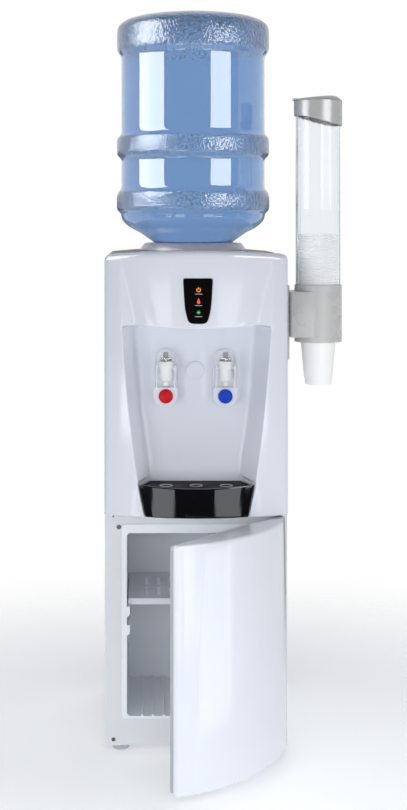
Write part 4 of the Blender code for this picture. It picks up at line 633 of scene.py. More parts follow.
def display_outline(grow=0.0):
    right = [(9.0 + grow * 0.5, DISPLAY_LOW - grow), (15.6 + grow, DISPLAY_LOW + 3.0 - grow),
             (20.4 + grow, DISPLAY_LOW + 20), (22.2 + grow, DISPLAY_LOW + 38),
             (24.2 + grow, DISPLAY_TOP + grow)]
    path = right + [(-x, z) for x, z in reversed(right)]
    radii = [5, 6, 14, 16, 4.2]
    return [(x + DISPLAY_X, z) for x, z in rounded(path, radii + radii[::-1], 5, True)]


def leaning(bm, face):
    for v in bm.verts:
        v.co.y += face + LEAN * (DISPLAY_TOP - v.co.z)
    return bm


FACE_Y = -228.0 - 1.2 + LEAN * (HOUSING_TOP - ROLL - DISPLAY_TOP)
carve(housing, leaning(prism(display_outline(0.35), -3, 9, "Y"), FACE_Y))
publish("display", leaning(prism(display_outline(), 0, 4.2, "Y"), FACE_Y), "cabinet", SCREEN, "display_panel",
        bevel=0.8, segments=3)


def flat_mark(name, outline, finish):
    """A thin printed shape that lies on the leaning display."""
    return publish(name, leaning(prism(outline, -0.06, 0.1, "Y"), FACE_Y), "cabinet", finish)


PRINT = look("print_grey", (0.45, 0.46, 0.48), 0.4, glow=0.15, wear=0.0)
MARKS = (("amber", 774.4, (0.9, 0.28, 0.01)), ("red", 755.8, (0.95, 0.04, 0.01)),
         ("green", 737.6, (0.02, 0.42, 0.06)))
for label, z, colour in MARKS:
    glow = look(f"lamp_{label}", colour, 0.4, glow=0.9, wear=0.0, grain=(900, 0.1))
    x = 2.6
    if label == "amber":
        gap = math.radians(38)
        arc = [math.pi / 2 + gap + (math.tau - 2 * gap) * i / 24 for i in range(25)]
        ring = [(x + 3.6 * math.cos(a), z + 3.6 * math.sin(a)) for a in arc]
        ring += [(x + 2.6 * math.cos(a), z + 2.6 * math.sin(a)) for a in reversed(arc)]
        flat_mark("lamp_amber_ring", ring, glow)
        flat_mark("lamp_amber_bar", rounded_rect(x - 0.5, z + 0.6, x + 0.5, z + 4.2, 0.4, 3), glow)
    elif label == "red":
        flat_mark("lamp_red_bulb", [(x + u, v) for u, v in stadium(2.6, z - 4.0, z + 1.4)], glow)
        flat_mark("lamp_red_stalk", [(x + u, v) for u, v in stadium(1.2, z - 1.0, z + 4.4)], glow)
    else:
        spokes = []
        for i in range(12):
            a = math.tau * i / 12
            reach = 4.2 if i % 2 else 1.3
            spokes.append((x + reach * math.sin(a), z + reach * math.cos(a)))
        flat_mark("lamp_green_star", rounded(spokes, 0.5, 2, True), glow)
    flat_mark(f"caption_{label}", rounded_rect(x - 6.0, z - 7.2, x + 6.0, z - 6.4, 0.35, 2), PRINT)


# Drip tray and its grille

TRAY_LOW = CABINET_TOP + 0.3


def tray_outline(front_half, inset=0.0):
    """Plan of the tray at one height: bowed front, narrower straight back."""
    front_x = front_half - inset
    back_x = tray_back_half(front_half) - inset
    back = TRAY_BACK - 0.6 - inset
    steps = 26
    across = [mix(-front_x, front_x, i / steps) for i in range(steps + 1)]
    front = [(x, arc_y(x, inset)) for x in across]
    path = front + [(back_x, back), (-back_x, back)]
    radii = [3.0] + [0.01] * (steps - 1) + [3.0, 4.0, 4.0]
    return rounded(path, radii, 3, True)


TRAY_LEAN = 0.07
TRAY_BOW = 2.2
TRAY_FRONT = -212.0
SKIRT_HALF = 84.0


def tray_forward(y):
    return min(max((TRAY_BACK - y) / (TRAY_BACK - TRAY_FRONT), 0), 1)


def tray_set_back(x, y, z):
    """The tray's front bows more than the housing and leans back."""
    return y + tray_forward(y) * (TRAY_LEAN * (z - TRAY_LOW) + TRAY_BOW * (x / SKIRT_HALF) ** 2)


def tray_ring(inset, z, top=0.0):
    """One outline of the tray; the rim's top rises from the back to its two front corners."""
    ring = []
    for x, y in tray_outline(tray_half(z), inset):
        forward = tray_forward(y)
        y = tray_set_back(x, y, z)
        ring.append((x, y, z + top * (forward * (0.4 + 4.0 * (x / 96) ** 2) - 1.0 * (1 - forward))))
    return ring


RIM = 5.5
tray = publish("tray_body", grid([
    tray_ring(1.4, TRAY_LOW), tray_ring(0.4, TRAY_LOW + 0.4), tray_ring(0.0, TRAY_LOW + 1.4),
    tray_ring(0.0, TRAY_LOW + 2.6), tray_ring(0.0, TRAY_TOP - 3.2, 1), tray_ring(0.0, TRAY_TOP - 1.6, 1),
    tray_ring(0.45, TRAY_TOP - 0.45, 1), tray_ring(1.6, TRAY_TOP, 1),
    tray_ring(RIM - 0.8, TRAY_TOP, 1), tray_ring(RIM - 0.1, TRAY_TOP - 0.6, 1),
    tray_ring(RIM, TRAY_TOP - 3.8), tray_ring(RIM + 1.5, TRAY_TOP - 3.8),
    tray_ring(RIM + 1.7, 412), tray_ring(RIM + 5, 407.7),
], closed=True, ends=True), "tray", BLACK, "drip_tray")
skirt = [(x, arc_y(x) + 4.5) for x in (mix(-SKIRT_HALF, SKIRT_HALF, i / 20) for i in range(21))]
skirt += [(SKIRT_HALF, TRAY_BACK + 4), (-SKIRT_HALF, TRAY_BACK + 4)]
carve(tray, prism(skirt, TRAY_LOW - 4, POCKET_FLOOR + 0.3))

ROSETTE_Y = -181.0
DRILL_LOW, DRILL_HIGH = 440.0, 452.0
grille_edge = [(x, tray_set_back(x, y, 447)) for x, y in tray_outline(tray_half(445.2), RIM + 0.6)]
grille = publish("tray_grille", prism(grille_edge, 445.3, 447.7), "grille", MATT_BLACK, "drip_grille",
                 bevel=0.5)
# Raised rings round each rosette, coloured light grey as a painted highlight of their rim glint.
rings = [turned([(8.9, 447.4), (8.9, 448.0), (9.3, 448.4), (10.5, 448.4), (10.9, 448.0), (10.9, 447.4)], 40,
                at=(i * TAP_X, ROSETTE_Y, 0), ring=True) for i in (-1, 0, 1)]
publish("tray_rosette_rings", join(*rings), "grille", ROSETTE_PAINTED_HIGHLIGHT)
drills = []
for i in (-1, 0, 1):
    drills.append(rod(3.6, DRILL_LOW, DRILL_HIGH, at=(i * TAP_X, ROSETTE_Y, 0)))
    for k in range(8):
        a = math.tau * (k + 0.5) / 8
        spot = (i * TAP_X + 7.2 * math.cos(a), ROSETTE_Y + 7.2 * math.sin(a), 0)
        drills.append(rod(1.5, DRILL_LOW, DRILL_HIGH, 12, at=spot))
carve(grille, join(*drills))


# Taps: heights and depths are about the push lever's pivot

def plate_ring(inset, y, at):
    return [(u + at[0], y, v + at[2]) for u, v in stadium(19.5 - inset, inset - 62.0, 29.6 - inset)]


PLATE_BACK = WALL_Y - 4.3
PLATE_PROFILE = ((0.4, 0.0), (0.0, 0.5), (0.0, 2.9), (0.5, 3.5), (1.1, 3.7), (1.7, 3.5), (2.2, 2.6),
                 (2.9, 2.0), (4.5, 1.85))
TAP_PROFILE = [(3.2, -29.2), (3.7, -30), (4.5, -30), (4.8, -29.4), (4.8, -24.5), (5.6, -23.2), (9.0, -21.6),
               (10.6, -19.4), (11.0, -16.5), (11.0, -1.4), (11.5, -0.6), (12.6, -0.4), (13.0, 0.1),
               (13.1, 0.8),
               (13.1, 9.8), (12.7, 10.8), (11.6, 11.6), (4.4, 11.6), (4.4, -13), (3.2, -13)]
STEM_PROFILE = [(0, 12), (3.6, 12), (3.6, 17.5), (4.1, 18.1), (4.1, 24.8), (3.7, 26), (2.8, 26.6), (0, 26.6)]
BUTTON_PROFILE = [(0, 6.9), (9.8, 6.95), (11.1, 7.3), (11.9, 8.1), (11.9, 9.7), (0, 9.7)]
BUTTON_RING = [(12.2, 9.9), (12.2, 9.3), (12.6, 9.0), (13.3, 9.0), (13.7, 9.4), (13.7, 9.9)]
LEVER_ARM = [(10.0, -38.0), (13.0, -38.0), (13.0, -20.0), (8.6, -8.0), (6.2, 3.0), (4.4, 5.6), (0.0, 6.2),
             (-4.4, 5.6), (-6.2, 2.0), (-6.0, -6.0), (7.0, -20.0)]
for label, sx, disc in (("hot", -1, HOT), ("cold", 1, COLD)):
    at = (sx * TAP_X, TAP_Y, TAP_Z)
    plate = [plate_ring(inset, PLATE_BACK - proud, at) for inset, proud in PLATE_PROFILE]
    publish(f"{label}_escutcheon", grid(plate, True, True), "cabinet", TAP_PLATE_PAINTED_LIGHT,
            f"{label}_tap_escutcheon")
    publish(f"{label}_valve_body", join(
        turned(TAP_PROFILE, 64, at=at, ring=True),
        turned([(0, 9), (7.4, 9), (8, 9.6), (8, 60), (0, 60)], 40, "Y", at),
        turned([(0, -17.2), (2.4, -17.2), (3, -16.6), (3, -11.2), (0, -11.2)], 24, "X", at),
        turned([(0, 11.2), (3, 11.2), (3, 16.6), (2.4, 17.2), (0, 17.2)], 24, "X", at),
    ), "cabinet", TAP_WHITE, f"{label}_tap_body")
    corners = [math.tau * (k + 0.5) / 6 for k in range(6)]
    hexagon = [(at[0] + 11.3 * math.cos(a), at[1] + 11.3 * math.sin(a)) for a in corners]
    publish(f"{label}_union_nut", prism(hexagon, at[2] + 11.9, at[2] + 16.6), "cabinet", CHROME,
            f"{label}_tap_nut", bevel=0.9, segments=3)
    publish(f"{label}_valve_stem", turned(STEM_PROFILE, 40, at=at), f"{label}_stem", STEM,
            f"{label}_tap_stem")
    half, low, high = 20.5, -68.0, -34.0
    bowl = stadium(half, low, low + 2 * half + 1)[17:]
    outline = bowl + [(half, high - 2.0), (half - 2.0, high), (2.0 - half, high), (-half, high - 2.0)]
    outline = [(u + at[0], v + at[2]) for u, v in outline]
    arms = []
    for side in (-1, 1):
        a, b = sorted((side * 13.9, side * 16.9))
        arm = rounded([(y + at[1], z + at[2]) for y, z in LEVER_ARM], 2.0, 3, True)
        arms.append(prism(arm, a + at[0], b + at[0], "X"))
    lever = publish(f"{label}_lever_fork", join(prism(outline, at[1] + 10.0, at[1] + 13.0, "Y"), *arms),
                    f"{label}_lever", WHITE, f"{label}_tap_lever", bevel=0.8, segments=3)
    for side in (-1, 1):
        a, b = sorted((side * 13.0, side * 17.1))
        carve(lever, rod(3.3, a, b, 20, "X", at), f"bore{side + 1}")
    spot = (at[0], at[1], at[2] - 48.7)
    publish(f"{label}_button", turned(BUTTON_PROFILE, 56, "Y", spot), f"{label}_lever", disc,
            f"{label}_tap_button")
    publish(f"{label}_button_ring", turned(BUTTON_RING, 56, "Y", spot, ring=True), f"{label}_lever", WHITE)

PLUG_PROFILE = [(0, -2.35), (13.4, -2.3), (14.7, -1.9), (15.2, -1.1), (15.2, -0.1), (7.6, -0.1), (7.6, 7.5),
                (0, 7.5)]
publish("tap_blank_disc", turned(PLUG_PROFILE, 64, "Y", (0, PLATE_BACK, TAP_Z - 7)), "cabinet", WHITE,
        "blank_plug")


# Bottle, cap and collar

CROWN = 1259.5
COLLAR_TOP = 848.5
SLOPE = 0.713
RING_R, WALL_R = 135.5, 127.5
CONE_R, CONE_TOP = 94.5, 867.0


def cone_z(radius):
    return CONE_TOP - (CONE_R - radius) * SLOPE


def ring_band(low, high):
    """One proud band of the bottle, its edges rolled."""
    raw = [(WALL_R, low - 12), (WALL_R, low - 2.5), (RING_R, low + 5.5), (RING_R, high - 5.5),
           (WALL_R, high + 5.5), (WALL_R, high + 15)]
    return rounded(raw, [0, 4, 5.5, 6, 4.5, 0], 6)


crown = [(RING_R * math.cos(a) ** (2 / 3.4), 1216 + 36 * math.sin(a) ** (2 / 3.4))
         for a in (math.radians(k) for k in (6, 13, 21, 30, 40, 50, 59))]
crown += [(78.0, 1251.2), (55.0, 1254.0), (33.0, 1256.9), (14.0, 1259.0), (0.0, CROWN)]
shoulder = [(27.5, 793.5), (28.2, 794.2), (28.2, 797.0), (27.5, 798.0), (27.5, 816.0), (28.2, 819.2),
            (30.0, cone_z(30.0))]
shoulder += [(r, cone_z(r)) for r in (mix(30, CONE_R, i / 6) for i in range(1, 7))]
shoulder += [(104.0, 871.6), (112.0, 876.2), (118.6, 881.1), (123.2, 886.0), (126.2, 890.6)]
dome_lip = rounded([(WALL_R, 1168), (WALL_R, 1177.5), (RING_R, 1189), (RING_R, 1212)], [0, 4, 8, 0], 6)
outside = shoulder + ring_band(901.9, 940.2)[1:] + ring_band(999.2, 1037.5) + dome_lip + crown


def inner_skin(profile, wall):
    """The profile moved inwards by the wall, along its own normals."""
    made = []
    for i, p in enumerate(profile):
        a = Vector(profile[max(i - 1, 0)])
        b = Vector(profile[min(i + 1, len(profile) - 1)])
        along = (b - a).normalized()
        inward = Vector((-along.y, along.x))
        r = p[0] + inward.x * wall
        made.append((max(r, 0.0) if i < len(profile) - 1 else 0.0, p[1] + inward.y * wall))
    made[0] = (profile[0][0] - wall, profile[0][1])
    return made


def is_pebbled(z):
    return z > 1188 or 1002 < z < 1036 or 906 < z < 938


bottle_bm = turned(outside + inner_skin(outside, 1.8)[::-1] + [outside[0]], 128)
for face in bottle_bm.faces:
    centre = face.calc_center_median()
    outer_side = math.hypot(centre.x, centre.y) > WALL_R - 1.0 or centre.z > 1241
    face.material_index = 1 if is_pebbled(centre.z) and outer_side else 0
publish("bottle_shell", bottle_bm, "bottle", [BOTTLE, PEBBLED], "water_bottle", angle=60)
cap_profile = [(10.5, 791.6), (28.6, 791.4), (29.6, 792.4), (29.6, 810.4), (28.8, 811.2), (27.9, 811.2),
               (27.9, 793.2), (10.5, 793.2)]
publish("bottle_cap_ring", turned(cap_profile, 96, ring=True), "bottle", CAP, "bottle_cap")
seat_r = CONE_R - (CONE_TOP - COLLAR_TOP - 0.4) / SLOPE
publish("bottle_ring_seat", turned([
    (94.0, 836.8), (93.6, 838.0), (86.4, 847.4), (84.8, 848.5), (seat_r + 2.2, COLLAR_TOP),
    (seat_r, COLLAR_TOP - 0.7), (36.6, cone_z(36.6) - 0.8), (36.0, 820.0), (36.0, 786.0), (39.0, 786.0),
    (39.0, cone_z(39.0) - 4.8), (seat_r, cone_z(seat_r) - 4.8), (76.5, cone_z(seat_r) - 4.8), (76.5, 830.0),
    (79.5, 830.0), (79.5, 836.8)], 128, ring=True), "cabinet", COLLAR, "bottle_collar")


# Door, hung in its open place: shaped closed and turned about the hinge pin

DOOR_HALF = 150.0
DOOR_BACK = -177.0
DOOR_LOW, DOOR_HIGH = 19.7, 398.0
DOOR_ROLL = 4.5
HINGE_X, HINGE_Y = 143.5, -183.5
SWING = (Matrix.Translation((HINGE_X, HINGE_Y, 0)) @ Matrix.Rotation(math.radians(52), 4, "Z")
         @ Matrix.Translation((-HINGE_X, -HINGE_Y, 0)))


def door_crease(z):
    """Half width between the two soft creases that carry on the housing's lines."""
    return 122.0 - 17.0 * math.exp((z - 402) / 100)


def door_outline(inset, z):
    half = DOOR_HALF - inset
    end = half - 9.0
    bow = [mix(-end, end, i / 120) for i in range(121)]
    front = []
    for x in bow:
        past = max(abs(x) - door_crease(z), 0)
        tuck = 0.4 * ease(past, 0, 2.5) + 0.13 * past
        front.append((x, arc_y(x, inset) + tuck))
    side_y = front[-1][1] + 9.0
    corner = []
    for i in range(1, 7):
        t = i / 6
        corner.append(((1 - t) ** 2 * end + 2 * t * (1 - t) * half + t * t * half,
                       (1 - t) ** 2 * front[-1][1] + 2 * t * (1 - t) * (front[-1][1] + 3.4) + t * t * side_y))
    right = corner + [(half, DOOR_BACK - 1.0), (half - 1.0, DOOR_BACK)]
    left = [(-x, y) for x, y in reversed(right)]
    return [(x, y, z) for x, y in left + front + right]


levels = [(DOOR_ROLL * (1 - math.sin(a)), DOOR_LOW + DOOR_ROLL * (1 - math.cos(a))) for a in quarter(5)]
levels += [(0.0, mix(DOOR_LOW + DOOR_ROLL, DOOR_HIGH - DOOR_ROLL, k / 36)) for k in range(1, 36)]
levels += [(inset, DOOR_LOW + DOOR_HIGH - z) for inset, z in reversed(levels[:6])]
door = publish("door_outer_skin", grid([door_outline(i, z) for i, z in levels], True, True), "door", WHITE,
               "door_skin", turn=SWING, angle=50)
bow_hollow = [(x, y) for x, y, z in door_outline(3.2, 200)]
bow_hollow = [(x, y if y < DOOR_BACK - 2 else DOOR_BACK + 4) for x, y in bow_hollow]
cutter = prism(bow_hollow, DOOR_LOW + 3, DOOR_HIGH - 3)
cutter.transform(SWING)
carve(door, cutter, "hollow")
for label, a, b in (("low", DOOR_LOW - 4, DOOR_LOW + 4), ("high", DOOR_HIGH - 4, DOOR_HIGH + 4)):
    carve(door, rod(2.6, a, b, 24, at=(HINGE_X, HINGE_Y, 0)), f"pin_{label}")


# Cup dispenser

HOLDER_R = 40.45
BLOCK_HALF = 39.0
LID_R = 41.5


def cup_ring(radius, z):
    """A circle about the tube's axis at one height or at one that follows x."""
    made = []
    for i in range(96):
        a = math.tau * i / 96
        x = radius * math.cos(a)
        made.append((CUP_X + x, CUP_Y + radius * math.sin(a), z(x) if callable(z) else z))
    return made


publish("holder_ring", turned([
    (38.9, 700), (38.9, 776.8), (39.4, 777.6), (40.0, 777.6), (40.5, 776.9), (40.5, 680.2), (40.0, 679.5),
    (36.6, 679.5), (36.0, 680.2), (36.0, 699.6), (36.4, 700)], 128, at=(CUP_X, CUP_Y, 0), ring=True),
    "cabinet", HOLDER, "cup_holder")
flat_x = -math.sqrt(HOLDER_R ** 2 - BLOCK_HALF ** 2)
start = math.atan2(-BLOCK_HALF, flat_x)
block = [(-51.3, BLOCK_HALF), (-51.3, -BLOCK_HALF)]
for i in range(61):
    a = mix(start, -start, i / 60)
    block.append((HOLDER_R * math.cos(a), HOLDER_R * math.sin(a)))
block = rounded(block, [5.0, 5.0] + [0.01] * 61, 5, True)


def block_rows():
    rows = []
    for inset, z in ((1.6, 688.6), (0.5, 689.1), (0, 690.4), (0, 764.8), (0.5, 766.1), (1.6, 766.6)):
        row = []
        for u, v in block:
            share = 1 - inset / math.hypot(u, v)
            row.append((CUP_X + u * share, CUP_Y + v * share, z))
        rows.append(row)
    for z in (766.6, 688.6):
        rows.append([(CUP_X + 39.2 * u / math.hypot(u, v), CUP_Y + 39.2 * v / math.hypot(u, v), z)
                     for u, v in block])
    return rows + [rows[0]]


publish("holder_arm", merged(grid(block_rows(), closed=True)), "cabinet", HOLDER)
mark_profile = [(0, -0.5), (17.4, -0.5), (18.4, -0.35), (18.8, 0.3), (18.8, 1.5), (0, 1.5)]
publish("holder_mark", turned(mark_profile, 72, "Y", (CUP_X - 25.9, CUP_Y - 39.1, 727.6)), "cabinet", HOLDER)

flutes = []
for radius, z in ((38.4, 700.3), (38.4, 1084.9), (36.6, 1084.9), (36.6, 700.3)):
    row = []
    for i in range(240):
        a = math.tau * i / 240
        r = radius - (0.6 - 0.6 * abs(math.cos(a * 12)) ** 10 if radius > 38 else 0.0)
        row.append((CUP_X + r * math.cos(a), CUP_Y + r * math.sin(a), z))
    flutes.append(row)
tube_bm = merged(grid(flutes + [flutes[0]], closed=True), 1e-5)
publish("cup_tube_clear", tube_bm, "cabinet", TUBE, "cup_tube", angle=40)

SEAM = 1093.6


def slant(x):
    return mix(1070.5, 1050.7, ease((x / LID_R + 1) / 2, -0.25, 1.15) * 1.04)


band = [(41.1, slant), (LID_R, lambda x: slant(x) + 0.5), (LID_R, SEAM - 0.5), (41.1, SEAM), (39.3, SEAM),
        (39.0, SEAM - 0.4), (39.0, lambda x: slant(x) + 0.5), (39.3, slant)]
band_bm = merged(grid([cup_ring(r, z) for r, z in band + band[:1]], closed=True))
publish("tube_band", band_bm, "cabinet", HOLDER, "tube_collar")


def lid_height(radius, x):
    """The lid's crown leans up towards its free side and falls away at the rim."""
    reach = max(min((LID_R - radius) / 16, 1), 0)
    edge = 3.9 * math.sin(math.pi / 2 * min(reach * 2.2, 1))
    return SEAM + 0.35 + (edge + 6.1 * ease(reach, 0, 1) * max(x / LID_R + 0.65, 0) / 1.65)


lid_rows = [cup_ring(40.6, SEAM + 0.35), cup_ring(LID_R, SEAM + 0.9)]
for r in (41.4, 40.9, 40.0, 38.6, 36.5, 33.5, 30, 26, 20, 14, 8, 3):
    lid_rows.append(cup_ring(r, lambda x, r=r: lid_height(r, x) + (0.6 if r > 41 else 0)))
tab = prism(rounded_rect(CUP_X - 43.4, CUP_Y - 9, CUP_X - 36, CUP_Y + 9, 2), SEAM + 0.8, SEAM + 4.2)
publish("tube_lid", join(grid(lid_rows, True, True), tab), "tube_lid", HOLDER, "cup_lid",
        angle=45)

cup_profile = [(0, 607.2), (19.5, 607.2), (20.6, 606.0), (22.1, 606.2), (22.6, 608.0), (22.9, 617.5),
               (23.9, 619.0), (24.4, 622.0), (33.6, 723.5), (33.9, 726.2), (35.0, 726.6), (35.3, 727.3),
               (34.9, 728.0), (33.4, 727.8), (33.0, 726.0), (23.6, 620.0), (22.0, 612.0), (21.4, 608.4),
               (0, 608.4)]
publish("cup_lowest", turned(cup_profile, 80, at=(CUP_X, CUP_Y, 0)), "bottom_cup", CUP, "lowest_cup")
stack = [(0, 609.4), (20.4, 609.4), (21.4, 613.0), (22.8, 622.0), (32.4, 726.2)]
RIM_PITCH = 3.77
RIM_COUNT = 36
CUP_RIM = ((33.4, -0.6), (35.0, -0.3), (35.3, 0.4), (35.0, 1.1), (33.6, 1.5), (33.3, 2.6))
for k in range(RIM_COUNT):
    z = 729.2 + RIM_PITCH * k
    stack += [(r, z + up) for r, up in CUP_RIM]
top = stack[-1][1] + 1.0
stack += [(33.2, top), (32.6, top - 1), (24.0, top - 100), (21.6, top - 112), (0, top - 112)]
publish("cup_column", turned(stack, 72, at=(CUP_X, CUP_Y, 0)), "cabinet", CUP, "cup_stack")


# CAD pieces that keep their shape, with eased edges

def refine(name, width):
    node = frame["nodes"][name]
    weld = node.modifiers.new("weld", "WELD")
    weld.merge_threshold = 0.00002
    round_edges(node, width, 2, 35, False)
    node.modifiers.new("shading", "WEIGHTED_NORMAL")


for name, width in (("left_side_panel", 0.5), ("right_side_panel", 0.5), ("cabinet_frame", 0.3),
                    ("base_plate", 0.3), ("back_panel", 0.3), ("cabinet_liner", 0.9), ("cabinet_shelf", 0.7),
                    ("cup_mount_plate", 0.8), ("door_liner", 0.8), ("upper_hinge", 0.3), ("lower_hinge", 0.3),
                    ("hot_switch", 0.5), ("cold_switch", 0.5)):
    refine(name, width)


# Closing strip between the back panel and the domed lid

COVER_WALL = 4
STRIP_HALF = 143
STRIP_LOW = 820.0
STRIP_FRONT, STRIP_BACK = 167.2, 168.4
strip_x = [mix(-STRIP_HALF, STRIP_HALF, i / 24) for i in range(25)]
strip_outline = [(x, HOUSING_TOP + dome_rise(x) - COVER_WALL + 0.3) for x in strip_x]
strip_outline = [(-STRIP_HALF, STRIP_LOW), *strip_outline, (STRIP_HALF, STRIP_LOW)]
publish("back_top_strip", prism(strip_outline, STRIP_FRONT, STRIP_BACK, "Y"), "cabinet", STEEL_WHITE)


# Folded front edges of the side panels, and the screws

FRAME_Y = -170.0
FLUSH_Y = FRAME_Y - 0.2
flanges = {}
for side in (-1, 1):
    low_x, high_x = sorted((side * 124.6, side * 151.6))
    sheet = prism(rounded_rect(low_x, 12.5, high_x, 398.0, 0.8, 2), FLUSH_Y, FRAME_Y + 0.2, "Y")
    flanges[side] = publish(f"front_flange{side + 1}", sheet, "cabinet", STEEL_WHITE,
                            bevel=0.15)


def cross_screw(name, side, x, z, radius, finish, turn):
    """A flush screw head with a cross recess, facing the front; the closed door's gasket clears it."""
    spot = (side * x, FLUSH_Y, z)
    carve(flanges[side], rod(radius + 0.2, -1, 1, 32, "Y", spot), f"seat_{name}")
    profile = [(0, -0.06), (radius * 0.85, -0.06), (radius, 0.1), (radius, 0.6), (0, 0.6)]
    head = publish(name, turned(profile, 32, "Y", spot), "cabinet", finish)
    arms = []
    for a in (turn, turn + 90):
        bar = box((-radius * 0.62, -0.6, -radius * 0.13), (radius * 0.62, 0.1, radius * 0.13))
        bar.transform(Matrix.Translation(spot) @ Matrix.Rotation(math.radians(a), 4, "Y"))
        arms.append(bar)
    carve(head, arms[0])
    carve(head, arms[1], "cutter2")


SCREW_DARK = look("screw_dark", (0.14, 0.13, 0.12), 0.5, metal=0.4, grain=(1500, 0.2), tint=0.2, wear=0.05,
                  spec=0.2)
for side, turn in ((-1, 25), (1, 60)):
    cross_screw(f"top_screw{side + 1}", side, 138.6, 394.5, 2.4, BRACKET, turn)
    cross_screw(f"frame_screw{side + 1}", side, 128.4, 376.7, 4.0, SCREW_DARK, turn + 20)
    cross_screw(f"foot_screw{side + 1}", side, 137.4, 22.5, 3.4, SCREW_DARK, turn - 30)


# Light, floor and camera

STUDIO_WHITE = (0.95, 0.975, 1.0)


def softbox(name, azimuth, distance, heights, width, power, mirrored_only=False):
    """An area lamp round the cooler, facing its axis; azimuth 0 is in front, negative to its left."""
    light = bpy.data.lights.new(name, "AREA")
    light.shape = "RECTANGLE"
    light.size = width
    light.size_y = heights[1] - heights[0]
    light.energy = power
    made = add_object(name, light)
    turn = math.radians(azimuth)
    made.location = (ORIGIN.x + distance * math.sin(turn), ORIGIN.y - distance * math.cos(turn),
                     sum(heights) / 2)
    made.rotation_euler = (math.radians(90), 0, turn)
    light.color = STUDIO_WHITE
    made.visible_camera = False
    made.visible_transmission = False
    made.visible_diffuse = not mirrored_only
    made.visible_glossy = mirrored_only
    return made


def strip(name, azimuths, distance, heights, brightness):
    """A softbox that only shows as a reflection in glossy surfaces."""
    spread = math.radians(azimuths[1] - azimuths[0])
    width = 2 * distance * math.tan(spread / 2)
    power = brightness * math.pi * width * (heights[1] - heights[0])
    return softbox(name, sum(azimuths) / 2, distance, heights, width, power, True)


softbox("left_key", -35, 2.4, (0.0, 1.2), 1.0, 3.0)
softbox("right_key", 30, 2.5, (0.0, 1.2), 0.8, 1.2)
softbox("right_side", 68, 1.7, (0.0, 0.5), 0.8, 5.2)
softbox("front_low", -6, 1.25, (0.22, 0.72), 1.3, 6.5)
top_light = softbox("top_light", 0, 0.4, (1.7, 3.5), 1.8, 5)
top_light.location.z = 3.0
top_light.rotation_euler = (math.radians(8), 0, 0)
softbox("rear_light", 160, 2.4, (0.9, 2.6), 1.6, 16)
strip("left_front_strip", (-29, -14.3), 1.15, (0.02, 0.70), 3.6)
strip("right_front_strip", (14.2, 31.5), 1.15, (0.02, 0.70), 3.3)
for side in (-1, 1):
    strip(f"edge_strip{side + 1}", sorted((side * 34, side * 45)), 1.15, (0.40, 0.54), 7.0)
strip("left_high_strip", (-92, -46), 1.2, (0.92, 2.2), 15.0)
strip("right_high_strip", (25, 58), 1.3, (0.92, 1.42), 13.0)
strip("door_strip", (24.4, 49.2), 0.608, (0.0, 0.325), 2.6)

# Dark cloth behind the camera with a roof over it, and low behind the cooler: it shows only as a reflection
CLOTH_RADIUS = 3.0
CLOTH_LOW = -1.2
ROOF_HALF = 2.9
ROOF_BACK = 0.5
DARK_CLOTH = look("dark_cloth", (0.05, 0.05, 0.055), 0.9, grain=(300, 0.2), wear=0.0)
for name, start, stop, top in (("dark_backdrop", -75, 75, 3.4), ("dark_flag", 147, 213, 1.0)):
    dark_bm = bmesh.new()
    if name == "dark_backdrop":
        roof = [(-ROOF_HALF, -ROOF_HALF), (ROOF_HALF, -ROOF_HALF), (ROOF_HALF, ROOF_BACK),
                (-ROOF_HALF, ROOF_BACK)]
        dark_bm.faces.new([dark_bm.verts.new((x, y, top)) for x, y in roof])
    turns = [math.radians(a) for a in range(start, stop + 1, 3)]
    round_camera = [(CLOTH_RADIUS * math.sin(a), -CLOTH_RADIUS * math.cos(a)) for a in turns]
    dark_rows = [[dark_bm.verts.new((*spot, z)) for spot in round_camera] for z in (CLOTH_LOW, top)]
    for i in range(1, len(dark_rows[0])):
        dark_bm.faces.new((dark_rows[0][i - 1], dark_rows[0][i], dark_rows[1][i], dark_rows[1][i - 1]))
    dark_wall = as_object(name, dark_bm)
    dark_wall.data.materials.append(DARK_CLOTH)
    dark_wall.visible_camera = False
    dark_wall.visible_diffuse = False
    dark_wall.visible_transmission = False
    dark_wall.visible_shadow = False
    dark_wall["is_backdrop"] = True

world = bpy.data.worlds.new("studio")
world.use_nodes = True
bpy.context.scene.world = world
nodes = world.node_tree.nodes
links = world.node_tree.links
nodes.clear()
path = nodes.new("ShaderNodeLightPath")
sees_white = path.outputs["Is Camera Ray"]
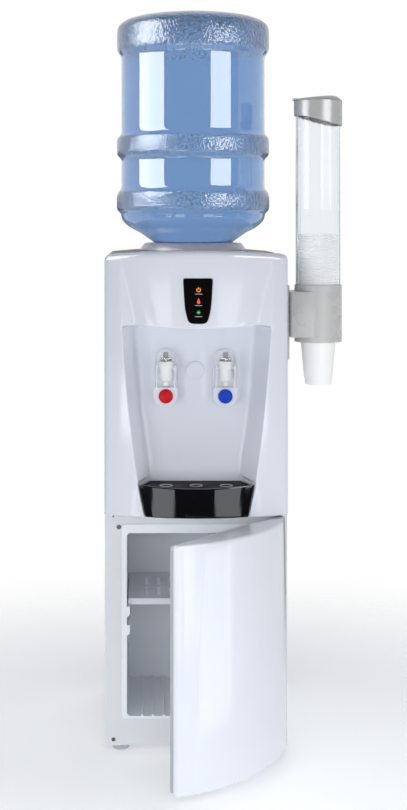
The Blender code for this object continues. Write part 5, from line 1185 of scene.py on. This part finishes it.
for ray in ("Is Transmission Ray", "Is Glossy Ray"):
    either = nodes.new("ShaderNodeMath")
    either.operation = "MAXIMUM"
    links.new(sees_white, either.inputs[0])
    links.new(path.outputs[ray], either.inputs[1])
    sees_white = either.outputs[0]
white = nodes.new("ShaderNodeBackground")
white.inputs["Color"].default_value = (1, 1, 1, 1)
fill = nodes.new("ShaderNodeBackground")
fill.inputs["Color"].default_value = (0.90, 0.94, 1.0, 1)
fill.inputs["Strength"].default_value = 0.36
choose = nodes.new("ShaderNodeMixShader")
links.new(sees_white, choose.inputs["Fac"])
links.new(fill.outputs[0], choose.inputs[1])
links.new(white.outputs[0], choose.inputs[2])
output = nodes.new("ShaderNodeOutputWorld")
links.new(choose.outputs[0], output.inputs["Surface"])

floor_bm = bmesh.new()
bmesh.ops.create_circle(floor_bm, cap_ends=True, radius=9.0, segments=96)
floor = as_object("floor", floor_bm)
floor_look = look("floor_pale", (0.97, 0.97, 0.97), 0.6, grain=(60, 0.02), tint=0.005, wear=0.0, spec=0.2,
                  glow=0.24)
floor_tree = floor_look.node_tree
floor_place = floor_tree.nodes.new("ShaderNodeTexCoord")
floor_reach = floor_tree.nodes.new("ShaderNodeVectorMath")
floor_reach.operation = "LENGTH"
floor_fade = floor_tree.nodes.new("ShaderNodeMapRange")
floor_fade.interpolation_type = "SMOOTHSTEP"
for socket, value in (("From Min", 0.35), ("From Max", 1.3), ("To Min", 1.0), ("To Max", 0.0)):
    floor_fade.inputs[socket].default_value = value
floor_tree.links.new(floor_place.outputs["Object"], floor_reach.inputs[0])
floor_tree.links.new(floor_reach.outputs["Value"], floor_fade.inputs["Value"])
floor_tree.links.new(floor_fade.outputs["Result"], floor_tree.nodes["Principled BSDF"].inputs["Alpha"])
floor.data.materials.append(floor_look)
floor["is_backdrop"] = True

camera_data = bpy.data.cameras.new("camera")
camera_data.lens = 65.66
camera_data.sensor_width = 36
camera_data.shift_x = 0.066
camera_data.shift_y = -0.224
camera = add_object("camera", camera_data)
camera.location = (-0.12825, -2.51581, 0.8825)
camera.rotation_euler = (math.radians(90), 0, 0)
bpy.context.scene.camera = camera
bpy.context.scene.view_settings.view_transform = "Standard"

low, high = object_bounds()
